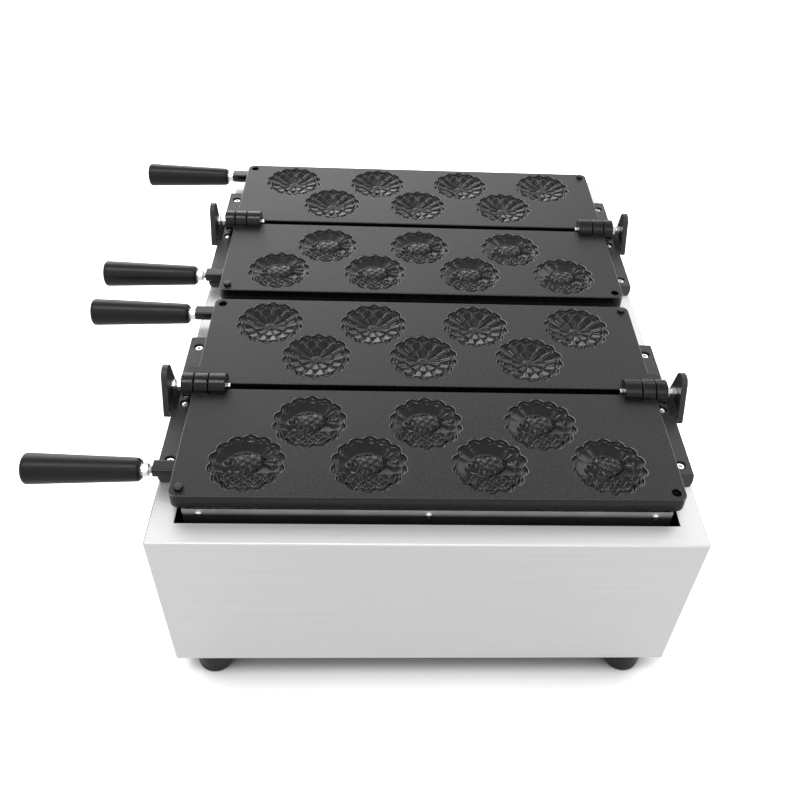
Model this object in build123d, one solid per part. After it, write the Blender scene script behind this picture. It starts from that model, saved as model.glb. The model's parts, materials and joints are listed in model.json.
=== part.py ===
from build123d import *
import os
from math import cos, pi, radians, sin

# Countertop double-row pocket griddle ("taiyaki maker"): two rows of hinged cast plates on a steel
# heater housing.  Millimetres, +Z up, +X along the plates, -X is the operator's side where the handles
# point, -Y is the broad blank side of the housing.  While modelling, x = 0 and y = 0 are the middle of
# the housing and z = 0 is the surface it stands on; at the end everything moves so that the origin is
# the bottom centre of the whole machine's bounding box.

# ---------------------------------------------------------------- driving dimensions: housing
HOUSING_HEIGHT = 221.0       # without the feet
SIDE_MARGIN = 21.0           # plate end to the housing's side
SHEET = 1.2                  # stainless sheet of the housing
BEND_RADIUS = 2.6            # outside radius of its folded edges
RIM_SIDE = 26.5              # top rim left around the opening, at each end along X
RIM_FRONT = 26.3
RIM_BACK = 20.0
PAN_FLANGE = 14.0            # upturned edge of the bottom pan
PAN_SHEET = 1.5
PAN_GAP = 0.3                # between pan and housing wall
VENT_LENGTH = 46.0           # slots in the bottom pan, along X
VENT_WIDTH = 5.0
VENT_PITCH = 50.0            # along X
VENT_LINE_PITCH = 150.0      # along Y
VENT_COLUMNS = 9
VENT_LINES = 3
SIDE_SCREW_INSET = 40.0      # pan and rail screws from the housing's front and back

# feet
FOOT_HEIGHT = 38.0
FOOT_TOP_DIAMETER = 46.0
FOOT_BOTTOM_DIAMETER = 38.0
FOOT_INSET_X = 40.0          # foot centre from the housing's side
FOOT_INSET_Y = 24.5          # foot centre from the housing's front and back
FOOT_EDGE_ROUND = 2.0
FOOT_RECESS = 10.0           # in the underside, for the screw head
FOOT_RECESS_GAP = 1.0        # around the screw head
FOOT_SCREW = 6.0             # shank diameter
FOOT_SCREW_HEAD = 12.0
FOOT_SCREW_HEAD_HEIGHT = 4.0
FOOT_SCREW_TAIL = 6.0        # above the pan's sheet
FOOT_NUT_FLATS = 10.0
FOOT_NUT_THICKNESS = 5.0

# ---------------------------------------------------------------- driving dimensions: griddle plates
PLATE_LENGTH = 540.0         # along X
PLATE_DEPTH = 161.4          # along Y
PLATE_THICKNESS = 20.0
PLATE_CORNER = 9.0
PLATE_LOWER_EDGE = 3.0
PLATE_UPPER_EDGE = 0.8
PLATE_LIFT = 7.2             # plate underside above the housing's top
FACE_DROP = 0.15             # plate top faces under the hinge axis: half the gap of a closed pair
PLATE_FRONT_MARGIN = 39.4    # first plate's free edge from the housing's front
PLATE_BACK_MARGIN = 24.8     # last plate's free edge from the housing's back
HINGE_GAP = 9.7              # between the hinge edges of a row's two plates
ROW_GAP = 19.8               # between the free edges of the two rows

# pockets
POCKET_RADIUS = 38.0         # round part of the outline
POCKET_DEPTH = 9.0
POCKET_DRAFT = 8.0           # degrees
POCKET_END_MARGIN = 33.7     # outer pockets to the plate's ends
POCKET_EDGE_MARGIN = 5.65    # line of four to the plate's free edge
POCKET_HINGE_MARGIN = 9.85   # line of three to the plate's hinge edge
POCKET_FAR_SHIFT = -0.8
POCKET_NEAR_SHIFT = -3.5
SCALLOP_COUNT = 14
SCALLOP_RADIUS = 8.6
SCALLOP_REACH = 3.6          # how far a scallop stands out of the round part

# locating pins and holes in the free corners
LOCATOR_INSET = 10.6         # from both edges of the corner
LOCATOR_PIN = 9.4
LOCATOR_PIN_RISE = 4.0
LOCATOR_PIN_SEAT = 8.0
LOCATOR_PIN_CHAMFER = 1.0
LOCATOR_HOLE = 11.0
LOCATOR_HOLE_DEPTH = 6.5

# knuckles
KNUCKLE_RADIUS = 15.0
KNUCKLE_CLEARANCE = 0.9      # radial, where a knuckle turns in the other plate's notch
KNUCKLE_SIDE_GAP = 0.8       # between neighbouring knuckles, and at a notch's ends
KNUCKLE_INSET = 38.0         # plate end to where the row of knuckles starts
KNUCKLE_ROOT = 10.0          # how far a knuckle's block reaches under the plate's edge
KNUCKLE_INNER = 19.3         # lengths along X
KNUCKLE_MIDDLE = 15.6
KNUCKLE_OUTER = 13.7
EAR_REACH = 33.0             # hinge axis to the far side of the ear
EAR_ROOT = 12.0              # ear's start inside the plate's end
EAR_CORNER = 5.0

# hinge pins
PIN_DIAMETER = 8.0
PIN_TIP_DIAMETER = 6.4
PIN_TIP_REACH = 4.0
PIN_SHOULDER = 0.5           # full diameter beyond the innermost knuckle
RUNNING_CLEARANCE = 0.05     # radial, pin in a turning knuckle
SEAT_CLEARANCE = 0.02        # radial, pin or stud in a fixed bore
PIN_NUT_FLATS = 12.0
PIN_NUT_THICKNESS = 4.9
PIN_NUT_GAP = 0.4            # inner nut to the outermost knuckle

# brackets
BRACKET_PLATE_GAP = 3.6      # plate end to the bar
BRACKET_WIDTH = 19.4
BRACKET_KNUCKLE_GAP = 2.35   # bar's top under the knuckles
BRACKET_FRONT_INSET = 51.25  # bar's flat front end from the plates' free edge
BRACKET_BACK_INSET = 58.25
BRACKET_CORNER = 2.0
BRACKET_TOE_SLOPE = 45.0     # degrees, of the rounded toe in front of the flat top
BRACKET_HOLE_SIDE = 7.7      # bar's inner side to the end holes
BRACKET_HOLE_SIDE_MIDDLE = 6.9
BRACKET_HOLE_FRONT_INSET = 14.5   # from the bar's front end
BRACKET_HOLE_BACK_INSET = 19.0
BRACKET_HOLE_MIDDLE = 12.0   # in front of the hinge axis
LUG_GAP = 2.4                # bar's outer side to the lug
LUG_THICKNESS = 7.0
LUG_BOTTOM = 3.5             # lug's lower end above the housing's top
LUG_FOOT_RISE = 3.0          # upright stretch of the lug's front edge
LUG_WEB_LENGTH = 42.0        # sloped web between bar and lug, along Y
LUG_WEB_BACK = 18.0          # its end behind the hinge axis
LUG_WEB_FOOT = 5.0           # its foot on the bar, along X
LUG_WEB_RISE = 8.0
LUG_TOP_RADIUS = 12.5
LUG_CENTRE_RISE = 14.5       # centre of the rounded top above the hinge axis
LUG_FOOT_FRONT = 29.0        # hinge axis to the lug's foot, front and back
LUG_FOOT_BACK = 22.0
BRACKET_SCREW = 5.0
BRACKET_SCREW_HEAD = 9.6
BRACKET_SCREW_HEAD_HEIGHT = 4.0
BRACKET_COUNTERBORE = 11.6
BRACKET_COUNTERBORE_DEPTH = 6.0
BRACKET_SOCKET = 2.0         # corner radius of the hexagon socket, and its depth
BRACKET_SCREW_TAIL = 1.0     # beyond its nut
BRACKET_NUT_FLATS = 8.0
BRACKET_NUT_THICKNESS = 4.0

# handles
HANDLE_LENGTH = 122.0
HANDLE_ROOT_DIAMETER = 25.5
HANDLE_END_DIAMETER = 34.0
HANDLE_ROOT_ROUND = 3.5
HANDLE_END_ROUND = 5.0
HANDLE_INSET_FRONT = 45.75   # plate's free edge to handle axis, front plates
HANDLE_INSET_BACK = 18.75    # back plates: further out, so that closed handles lie side by side
HANDLE_DROP = 11.5           # handle axis under the plate's top face
BOSS_REACH = 23.5            # boss out of the plate's end
BOSS_WIDTH = 17.0
BOSS_HEIGHT = 15.0
BOSS_ROUND = 2.5
BOSS_LOWER_CHAMFER = 6.0
BOSS_ROOT = 4.0              # boss's start inside the plate's end
STUD_DIAMETER = 8.0
STUD_IN_PLATE = 20.0
STUD_IN_HANDLE = 45.0
STUD_OPEN_FRONT = 12.5       # stud seen between boss and handle, front plates
STUD_OPEN_BACK = 8.0
STUD_NUT_FLATS = 13.0
STUD_NUT_THICKNESS = 6.3
STUD_WASHER = 15.0
STUD_WASHER_THICKNESS = 1.5

# ---------------------------------------------------------------- driving dimensions: heater
HEAT_BOX_INSET = 12.0        # its end walls inside the plate's ends
HEAT_BOX_FRONT_LEAD = 0.9    # front wall ahead of the plate's free edge
HEAT_BOX_HEIGHT = 70.0
HEAT_BOX_SHEET = 1.2
HEAT_BOX_PLATE_GAP = 0.3     # rim under the plates
INSULATION_THICKNESS = 20.0
INSULATION_GAP = 0.5         # to the walls around it
ELEMENT_DIAMETER = 8.5
ELEMENT_LEG_SPACING = 74.0
ELEMENT_DROP = 30.0          # element axis under the heat box's rim
ELEMENT_END_GAP = 22.0       # hairpin bend to the heat box's far end
ELEMENT_TAIL = 15.0          # sheath out of the end wall
ELEMENT_HOLE_GAP = 0.25
TERMINAL_PIN = 3.5
TERMINAL_PIN_LENGTH = 12.0
INSULATOR_DIAMETER = 15.0
INSULATOR_THICKNESS = 7.0
SUPPORT_INSET_LEFT = 17.0    # strap's middle from the heat box's end wall
SUPPORT_INSET_RIGHT = 18.0
SUPPORT_MIDDLE_X = -2.0
SUPPORT_WIDTH = 12.0
SUPPORT_SHEET = 1.5
SUPPORT_ELEMENT_GAP = 0.2
SUPPORT_SCREW_DROP = 6.0     # strap screws under the heat box's rim
SUPPORT_SCREW_EDGE = 4.5     # strap's upturned end above its screw
RAIL_SHEET = 2.0
RAIL_LEG = 55.0              # horizontal leg, from the housing wall inwards
RAIL_WALL_LEG = 30.0
RAIL_END_GAP = 30.0          # rail's ends from the housing's front and back
RAIL_WINDOW = 60.0           # cable windows along Y
RAIL_WINDOW_START = 3.0      # from the housing wall inwards
RAIL_WINDOW_END = 26.0
PAN_HEAD = 8.0               # M4 pan-head screws
PAN_HEAD_HEIGHT = 2.6
PAN_HEAD_ROUND = 1.2
PAN_SCREW = 4.0
PAN_SCREW_LENGTH = 6.0
SCREW_HOLE_GAP = 0.2         # radial, of every screw and neck through a sheet

# ---------------------------------------------------------------- driving dimensions: controls
PANEL_END = 33.0             # switch centre to the panel's end, along Y
PANEL_HEIGHT = 104.0
PANEL_SHEET = 2.0
PANEL_CORNER = 5.0
PANEL_OVERLAP = 14.0         # beyond the window in the housing wall
PANEL_DROP = 63.9            # panel's middle under the rails' top
KNOB_SPACING = 230.0         # between the two rows' knobs, along Y
KNOB_DIAMETER = 42.0
KNOB_GRIP_DIAMETER = 32.0
KNOB_SKIRT = 5.0
KNOB_HEIGHT = 21.0
KNOB_PANEL_GAP = 1.0
KNOB_ROUND = 2.5
KNOB_NECK_GAP = 0.6          # around the thermostat's neck, inside the knob's underside
KNOB_NECK_DEPTH = 2.0
POINTER_WIDTH = 3.0
POINTER_START = 4.0          # from the knob's axis
POINTER_STEP = 2.0           # out of the grip's face, and into its side near the skirt
POINTER_REACH = 1.5          # out of the grip's side
SPINDLE_DIAMETER = 6.0
SPINDLE_LENGTH = 30.0
SPINDLE_DEPTH = 14.0         # into the thermostat's case
SPINDLE_END_GAP = 0.3
THERMOSTAT_SIZE = (30.0, 44.0, 38.0)
THERMOSTAT_CORNER = 3.0
THERMOSTAT_NECK = 10.0
BULB_DIAMETER = 6.0
BULB_LENGTH = 110.0
BULB_HOLE = 8.0              # through the heat box's floor and its board
BULB_AHEAD = 16.0            # bulb in front of the hinge axis
BULB_RISER_INSET = 53.0      # capillary's riser from the heat box's end wall
BULB_GAP = 0.3               # over the insulation board
CAPILLARY_DIAMETER = 2.4
SWITCH_OFFSET = 62.0         # knob to switch, along Y
SWITCH_BEZEL = (32.0, 25.0)  # along Z and Y
SWITCH_BEZEL_RISE = 2.0
SWITCH_BODY = (27.0, 21.0)
SWITCH_BODY_DEPTH = 24.0
ROCKER_LENGTH = 24.0         # along Z
ROCKER_WIDTH = 17.0
ROCKER_TILT = 11.0           # degrees either side of square
ROCKER_GAP = 0.4
ROCKER_PROUD = 2.0           # its middle in front of the bezel
ROCKER_PIVOT_DEPTH = 3.0     # pivot behind the panel face
LAMP_OFFSET = 32.0           # knob to lamp, along Y
LAMP_RISE = 26.0             # lamp over the knob's axis
LAMP_LENS_DIAMETER = 12.0
LAMP_LENS_RISE = 5.0
LAMP_LENS_ROUND = 2.5
LAMP_NECK = 9.0
LAMP_DEPTH = 22.0
TERMINAL_BLOCK_SIZE = (30.0, 90.0, 24.0)
TERMINAL_BLOCK_FROM_BACK = 130.0
TERMINAL_BLOCK_ASIDE = 20.0  # from the gland, along X
TERMINAL_WAYS = 5
TERMINAL_SCREW_HOLE = 6.0    # diameter and depth
GLAND_DIAMETER = 20.0
GLAND_BORE = 10.0
GLAND_INSET = 76.0           # on the back wall, from the housing's side
GLAND_RISE = 40.0            # above the housing's lower edge
GLAND_INSIDE = 14.0
GLAND_OUTSIDE = 16.0
GLAND_DOME_WALL = 3.0        # dome nut wider than the sleeve
GLAND_DOME_ROUND = 4.0
GLAND_NUT_FLATS = 27.0
GLAND_NUT_THICKNESS = 6.0
WIRE_DIAMETER = 3.0
WIRE_END_GAP = 0.2
PAST = 1.0                   # how far a cutter or a joined piece runs past a face
THROUGH = 5.0                # half length of a cutter through a sheet

# ---------------------------------------------------------------- derived places
z_floor = FOOT_HEIGHT
z_top = z_floor + HOUSING_HEIGHT
z_plate_bottom = z_top + PLATE_LIFT
z_face = z_plate_bottom + PLATE_THICKNESS
z_axis = z_face + FACE_DROP
half_plate = PLATE_LENGTH / 2
half_width = half_plate + SIDE_MARGIN
hinge_edge = HINGE_GAP / 2
free_edge = hinge_edge + PLATE_DEPTH
row_length = 2 * free_edge
half_depth = (PLATE_FRONT_MARGIN + 2 * row_length + ROW_GAP + PLATE_BACK_MARGIN) / 2
row_axis = {
    "front_row": -half_depth + PLATE_FRONT_MARGIN + free_edge,
    "back_row": -half_depth + PLATE_FRONT_MARGIN + free_edge + row_length + ROW_GAP,
}
SIDES = {"left": -1, "right": 1}
PLATES = {"front_plate": -1, "back_plate": 1}
knuckle_start = half_plate - KNUCKLE_INSET
inner_knuckle = (knuckle_start, knuckle_start + KNUCKLE_INNER)
middle_knuckle = (inner_knuckle[1] + KNUCKLE_SIDE_GAP, inner_knuckle[1] + KNUCKLE_SIDE_GAP + KNUCKLE_MIDDLE)
outer_knuckle = (middle_knuckle[1] + KNUCKLE_SIDE_GAP, middle_knuckle[1] + KNUCKLE_SIDE_GAP + KNUCKLE_OUTER)
z_heat_top = z_plate_bottom - HEAT_BOX_PLATE_GAP
z_heat_bottom = z_heat_top - HEAT_BOX_HEIGHT
z_element = z_heat_top - ELEMENT_DROP
z_bracket = z_axis - KNUCKLE_RADIUS - BRACKET_KNUCKLE_GAP
bracket_inner = half_plate + BRACKET_PLATE_GAP
bracket_outer = bracket_inner + BRACKET_WIDTH
bracket_front = free_edge - BRACKET_FRONT_INSET
bracket_back = free_edge - BRACKET_BACK_INSET
lug_inner = bracket_outer + LUG_GAP
lug_outer = lug_inner + LUG_THICKNESS
half_heat = half_plate - HEAT_BOX_INSET
support_xs = (SUPPORT_INSET_LEFT - half_heat, SUPPORT_MIDDLE_X, half_heat - SUPPORT_INSET_RIGHT)
z_support_screw = z_heat_top - SUPPORT_SCREW_DROP
z_rail = z_heat_bottom
bulb_riser_x = BULB_RISER_INSET - half_heat
panel_outside = -half_width - PANEL_SHEET
panel_z = z_rail - PANEL_DROP
panel_length = KNOB_SPACING + 2 * SWITCH_OFFSET + 2 * PANEL_END
gland_x = GLAND_INSET - half_width
gland_z = z_floor + GLAND_RISE
block_x = gland_x + TERMINAL_BLOCK_ASIDE
block_y = half_depth - TERMINAL_BLOCK_FROM_BACK

nodes = {}


# ---------------------------------------------------------------- small helpers
def box(x0, x1, y0, y1, z0, z1):
    """Block between three pairs of planes."""
    return Pos((x0 + x1) / 2, (y0 + y1) / 2, (z0 + z1) / 2) * Box(abs(x1 - x0), abs(y1 - y0), abs(z1 - z0))


def rod_x(x0, x1, y, z, radius):
    """Cylinder along X."""
    return Pos((x0 + x1) / 2, y, z) * Rot(0, 90, 0) * Cylinder(radius, abs(x1 - x0))


def rod_y(x, y0, y1, z, radius):
    """Cylinder along Y."""
    return Pos(x, (y0 + y1) / 2, z) * Rot(90, 0, 0) * Cylinder(radius, abs(y1 - y0))


def rod_z(x, y, z0, z1, radius):
    """Cylinder along Z."""
    return Pos(x, y, (z0 + z1) / 2) * Cylinder(radius, abs(z1 - z0))


def hex_x(x0, x1, y, z, flats, bore):
    """Hexagon nut along X with its bore."""
    nut = extrude(RegularPolygon(flats / 2, 6, major_radius=False), abs(x1 - x0))
    placed = Pos(min(x0, x1), y, z) * Rot(0, 90, 0) * nut
    return placed - rod_x(min(x0, x1) - PAST, max(x0, x1) + PAST, y, z, bore)


def hex_z(x, y, z0, z1, flats, bore):
    """Hexagon nut along Z with its bore."""
    nut = extrude(RegularPolygon(flats / 2, 6, major_radius=False), z1 - z0)
    return Pos(x, y, z0) * nut - rod_z(x, y, z0 - PAST, z1 + PAST, bore)


def tray(x0, x1, y0, y1, z0, z1, sheet):
    """Open-topped sheet box."""
    hollow = box(x0 + sheet, x1 - sheet, y0 + sheet, y1 - sheet, z0 + sheet, z1 + PAST)
    return box(x0, x1, y0, y1, z0, z1) - hollow


def tube(points, radii, radius):
    """Round bar swept along straight runs joined by arcs."""
    path = FilletPolyline(*points, radius=radii)
    start = path.location_at(0)
    return sweep(start * Circle(radius), path=path)


def group(parts):
    """Several separate solids in one node."""
    return Compound([solid for part in parts for solid in part.solids()])


# ---------------------------------------------------------------- housing
def pan_screw_places():
    """M4 pan-head screws: where each head seats, and the way it points outwards."""
    places = []
    for row in row_axis:
        front = row_axis[row] - free_edge - HEAT_BOX_FRONT_LEAD
        back = row_axis[row] + free_edge + HEAT_BOX_FRONT_LEAD
        for x in support_xs:
            places.append(((x, front, z_support_screw), (0, -1, 0)))
            places.append(((x, back, z_support_screw), (0, 1, 0)))
    for y in (-1, 1):
        for z in (-1, 1):
            y_corner = y * (panel_length / 2 - PANEL_OVERLAP / 2)
            z_corner = panel_z + z * (PANEL_HEIGHT / 2 - PANEL_OVERLAP / 2)
            places.append(((panel_outside, y_corner, z_corner), (-1, 0, 0)))
    for side in SIDES.values():
        for y in (-1, 1):
            y_corner = y * (half_depth - SIDE_SCREW_INSET)
            places.append(((side * half_width, y_corner, z_floor + PAN_FLANGE / 2), (side, 0, 0)))
            places.append(((side * half_width, y_corner, z_rail - RAIL_WALL_LEG / 2), (side, 0, 0)))
    return places


def pan_screw(place, outwards, head_radius, shank_radius, length):
    """Domed screw, its head on the given point."""
    head = Cylinder(head_radius, PAN_HEAD_HEIGHT, align=(Align.CENTER, Align.CENTER, Align.MIN))
    head = fillet(head.faces().sort_by(Axis.Z)[-1].edges(), PAN_HEAD_ROUND)
    shank = Cylinder(shank_radius, length, align=(Align.CENTER, Align.CENTER, Align.MAX))
    return Plane(origin=place, z_dir=outwards) * (head + shank)


def screw_holes(part):
    """The shank holes of the pan-head screws, cut through a sheet part."""
    for place, outwards in pan_screw_places():
        drill = Cylinder(PAN_SCREW / 2 + SCREW_HOLE_GAP, 2 * PAN_SCREW_LENGTH)
        part -= Plane(origin=place, z_dir=outwards) * drill
    return part


def foot_places():
    """Foot centres, in the order front left, front right, back left, back right."""
    x = half_width - FOOT_INSET_X
    y = half_depth - FOOT_INSET_Y
    return [(-x, -y), (x, -y), (-x, y), (x, y)]


def bracket_hole_places():
    """Centres of the bracket holes on the top rim, with the side they are on."""
    places = []
    for axis in row_axis.values():
        for side in SIDES.values():
            x = side * (bracket_inner + BRACKET_HOLE_SIDE)
            places.append((x, axis - bracket_front + BRACKET_HOLE_FRONT_INSET))
            places.append((x, axis + bracket_back - BRACKET_HOLE_BACK_INSET))
            places.append((side * (bracket_inner + BRACKET_HOLE_SIDE_MIDDLE), axis - BRACKET_HOLE_MIDDLE))
    return places


def make_housing():
    """Folded shell with its top opening, and the bottom pan."""
    outer = box(-half_width, half_width, -half_depth, half_depth, z_floor, z_top)
    folds = outer.edges().filter_by(Axis.Z) + outer.faces().sort_by(Axis.Z)[-1].edges()
    outer = fillet(folds, BEND_RADIUS)
    inner = box(-half_width + SHEET, half_width - SHEET, -half_depth + SHEET, half_depth - SHEET,
                z_floor - PAST, z_top - SHEET)
    shell = outer - inner
    shell -= box(-half_width + RIM_SIDE, half_width - RIM_SIDE, -half_depth + RIM_FRONT,
                 half_depth - RIM_BACK, z_top - THROUGH, z_top + THROUGH)
    window_y = panel_length / 2 - PANEL_OVERLAP
    window_z = PANEL_HEIGHT / 2 - PANEL_OVERLAP
    shell -= box(-half_width - THROUGH, -half_width + THROUGH, -window_y, window_y,
                 panel_z - window_z, panel_z + window_z)
    shell -= rod_y(gland_x, half_depth - THROUGH, half_depth + THROUGH, gland_z,
                   GLAND_DIAMETER / 2 + SCREW_HOLE_GAP)
    for x, y in bracket_hole_places():
        shell -= rod_z(x, y, z_top - THROUGH, z_top + THROUGH, BRACKET_SCREW / 2 + SCREW_HOLE_GAP)
    nodes["housing_shell"] = screw_holes(shell)

    pan_x = half_width - SHEET - PAN_GAP
    pan_y = half_depth - SHEET - PAN_GAP
    pan = tray(-pan_x, pan_x, -pan_y, pan_y, z_floor, z_floor + PAN_FLANGE, PAN_SHEET)
    for x, y in foot_places():
        pan -= rod_z(x, y, z_floor - THROUGH, z_floor + THROUGH, FOOT_SCREW / 2 + SCREW_HOLE_GAP)
    vent = extrude(SlotOverall(VENT_LENGTH, VENT_WIDTH), 2 * THROUGH)
    for column in range(VENT_COLUMNS):
        for line in range(VENT_LINES):
            x = (column - (VENT_COLUMNS - 1) / 2) * VENT_PITCH
            y = (line - (VENT_LINES - 1) / 2) * VENT_LINE_PITCH
            pan -= Pos(x, y, z_floor - THROUGH) * vent
    nodes["bottom_pan"] = screw_holes(pan)


def make_feet():
    """Tapered rubber feet, each held by a screw from below."""
    profile = Polyline((0, 0), (FOOT_BOTTOM_DIAMETER / 2, 0), (FOOT_TOP_DIAMETER / 2, FOOT_HEIGHT),
                       (0, FOOT_HEIGHT), close=True)
    cone = revolve(Plane.XZ * make_face(profile), axis=Axis.Z)
    cone = fillet(cone.faces().sort_by(Axis.Z)[0].edges(), FOOT_EDGE_ROUND)
    foot = cone - rod_z(0, 0, -PAST, FOOT_RECESS, FOOT_SCREW_HEAD / 2 + FOOT_RECESS_GAP)
    foot -= rod_z(0, 0, FOOT_RECESS - PAST, FOOT_HEIGHT + PAST, FOOT_SCREW / 2 + SCREW_HOLE_GAP)
    pan_top = FOOT_HEIGHT + PAN_SHEET
    screw = rod_z(0, 0, FOOT_RECESS - FOOT_SCREW_HEAD_HEIGHT, FOOT_RECESS, FOOT_SCREW_HEAD / 2)
    screw += rod_z(0, 0, FOOT_RECESS - PAST, pan_top + FOOT_SCREW_TAIL, FOOT_SCREW / 2)
    nut = hex_z(0, 0, pan_top, pan_top + FOOT_NUT_THICKNESS, FOOT_NUT_FLATS, FOOT_SCREW / 2 + SEAT_CLEARANCE)
    names = ("front_left", "front_right", "back_left", "back_right")
    screws = []
    for name, (x, y) in zip(names, foot_places()):
        nodes["foot_" + name] = Pos(x, y, 0) * foot
        screws += [Pos(x, y, 0) * screw, Pos(x, y, 0) * nut]
    nodes["foot_screws"] = group(screws)


# ---------------------------------------------------------------- heater
def element_ys(row, plate):
    """The two legs of one hairpin under one plate."""
    middle = row_axis[row] + PLATES[plate] * (hinge_edge + PLATE_DEPTH / 2)
    return middle - ELEMENT_LEG_SPACING / 2, middle + ELEMENT_LEG_SPACING / 2


def bulb_y(row):
    return row_axis[row] - BULB_AHEAD


def make_rails():
    """Angle rails along the housing's sides, which carry the heat boxes."""
    rails = []
    for side in SIDES.values():
        wall = side * (half_width - SHEET)
        leg = wall - side * RAIL_LEG
        x0, x1 = sorted((wall, leg))
        v0, v1 = sorted((wall, wall - side * RAIL_SHEET))
        y_end = half_depth - RAIL_END_GAP
        rail = box(x0, x1, -y_end, y_end, z_rail - RAIL_SHEET, z_rail)
        rail += box(v0, v1, -y_end, y_end, z_rail - RAIL_WALL_LEG, z_rail)
        w0, w1 = sorted((wall - side * RAIL_WINDOW_START, wall - side * RAIL_WINDOW_END))
        for row in row_axis:
            rail -= box(w0, w1, row_axis[row] - RAIL_WINDOW / 2, row_axis[row] + RAIL_WINDOW / 2,
                        z_rail - THROUGH, z_rail + THROUGH)
        rails.append(screw_holes(rail))
    nodes["support_rails"] = group(rails)


def make_hairpin(ya, yb):
    """Tubular heating element with two legs along X, a half-ring bend and two terminal pins."""
    start = -half_heat - ELEMENT_TAIL
    ring = (yb - ya) / 2
    leg_end = half_heat - ELEMENT_END_GAP - ELEMENT_DIAMETER / 2 - ring
    sheath = Pos(leg_end, (ya + yb) / 2, z_element) * Torus(ring, ELEMENT_DIAMETER / 2)
    reach = ring + ELEMENT_DIAMETER
    sheath -= box(leg_end - reach, leg_end, ya - reach, yb + reach, z_element - reach, z_element + reach)
    for y in (ya, yb):
        sheath += rod_x(start, leg_end, y, z_element, ELEMENT_DIAMETER / 2)
        sheath += rod_x(start - TERMINAL_PIN_LENGTH, start + PAST, y, z_element, TERMINAL_PIN / 2)
    return sheath


def make_heater():
    """Each row's heat box with its board, straps, elements and insulators."""
    make_rails()
    boards = []
    supports = []
    insulators = []
    for row, axis in row_axis.items():
        y0 = axis - free_edge - HEAT_BOX_FRONT_LEAD
        y1 = axis + free_edge + HEAT_BOX_FRONT_LEAD
        heat_box = tray(-half_heat, half_heat, y0, y1, z_heat_bottom, z_heat_top, HEAT_BOX_SHEET)
        inner0, inner1 = y0 + HEAT_BOX_SHEET, y1 - HEAT_BOX_SHEET
        board_x = half_heat - HEAT_BOX_SHEET - INSULATION_GAP
        board_z = z_heat_bottom + HEAT_BOX_SHEET
        board = box(-board_x, board_x, inner0 + INSULATION_GAP, inner1 - INSULATION_GAP, board_z,
                    board_z + INSULATION_THICKNESS)
        riser = rod_z(bulb_riser_x, bulb_y(row), z_heat_bottom - THROUGH,
                      board_z + INSULATION_THICKNESS + PAST, BULB_HOLE / 2)
        heat_box -= riser
        boards.append(board - riser)
        strap_z = z_element - ELEMENT_DIAMETER / 2 - SUPPORT_ELEMENT_GAP
        strap_low = strap_z - SUPPORT_SHEET
        strap_high = z_support_screw + SUPPORT_SCREW_EDGE
        for x in support_xs:
            x0, x1 = x - SUPPORT_WIDTH / 2, x + SUPPORT_WIDTH / 2
            strap = box(x0, x1, inner0, inner1, strap_low, strap_z)
            strap += box(x0, x1, inner0, inner0 + SUPPORT_SHEET, strap_low, strap_high)
            strap += box(x0, x1, inner1 - SUPPORT_SHEET, inner1, strap_low, strap_high)
            supports.append(screw_holes(strap))
        passage = ELEMENT_DIAMETER / 2 + ELEMENT_HOLE_GAP
        for plate in PLATES:
            legs = element_ys(row, plate)
            nodes["heating_element_" + row + "_" + plate.split("_")[0]] = make_hairpin(*legs)
            for y in legs:
                heat_box -= rod_x(-half_heat - THROUGH, -half_heat + THROUGH, y, z_element, passage)
                ring = rod_x(-half_heat - INSULATOR_THICKNESS, -half_heat, y, z_element,
                             INSULATOR_DIAMETER / 2)
                insulators.append(ring - rod_x(-half_heat - 2 * INSULATOR_THICKNESS, -half_heat + PAST, y,
                                               z_element, passage))
        nodes["heat_box_" + row] = screw_holes(heat_box)
    nodes["insulation_boards"] = group(boards)
    nodes["element_supports"] = group(supports)
    nodes["element_insulators"] = group(insulators)


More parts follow.
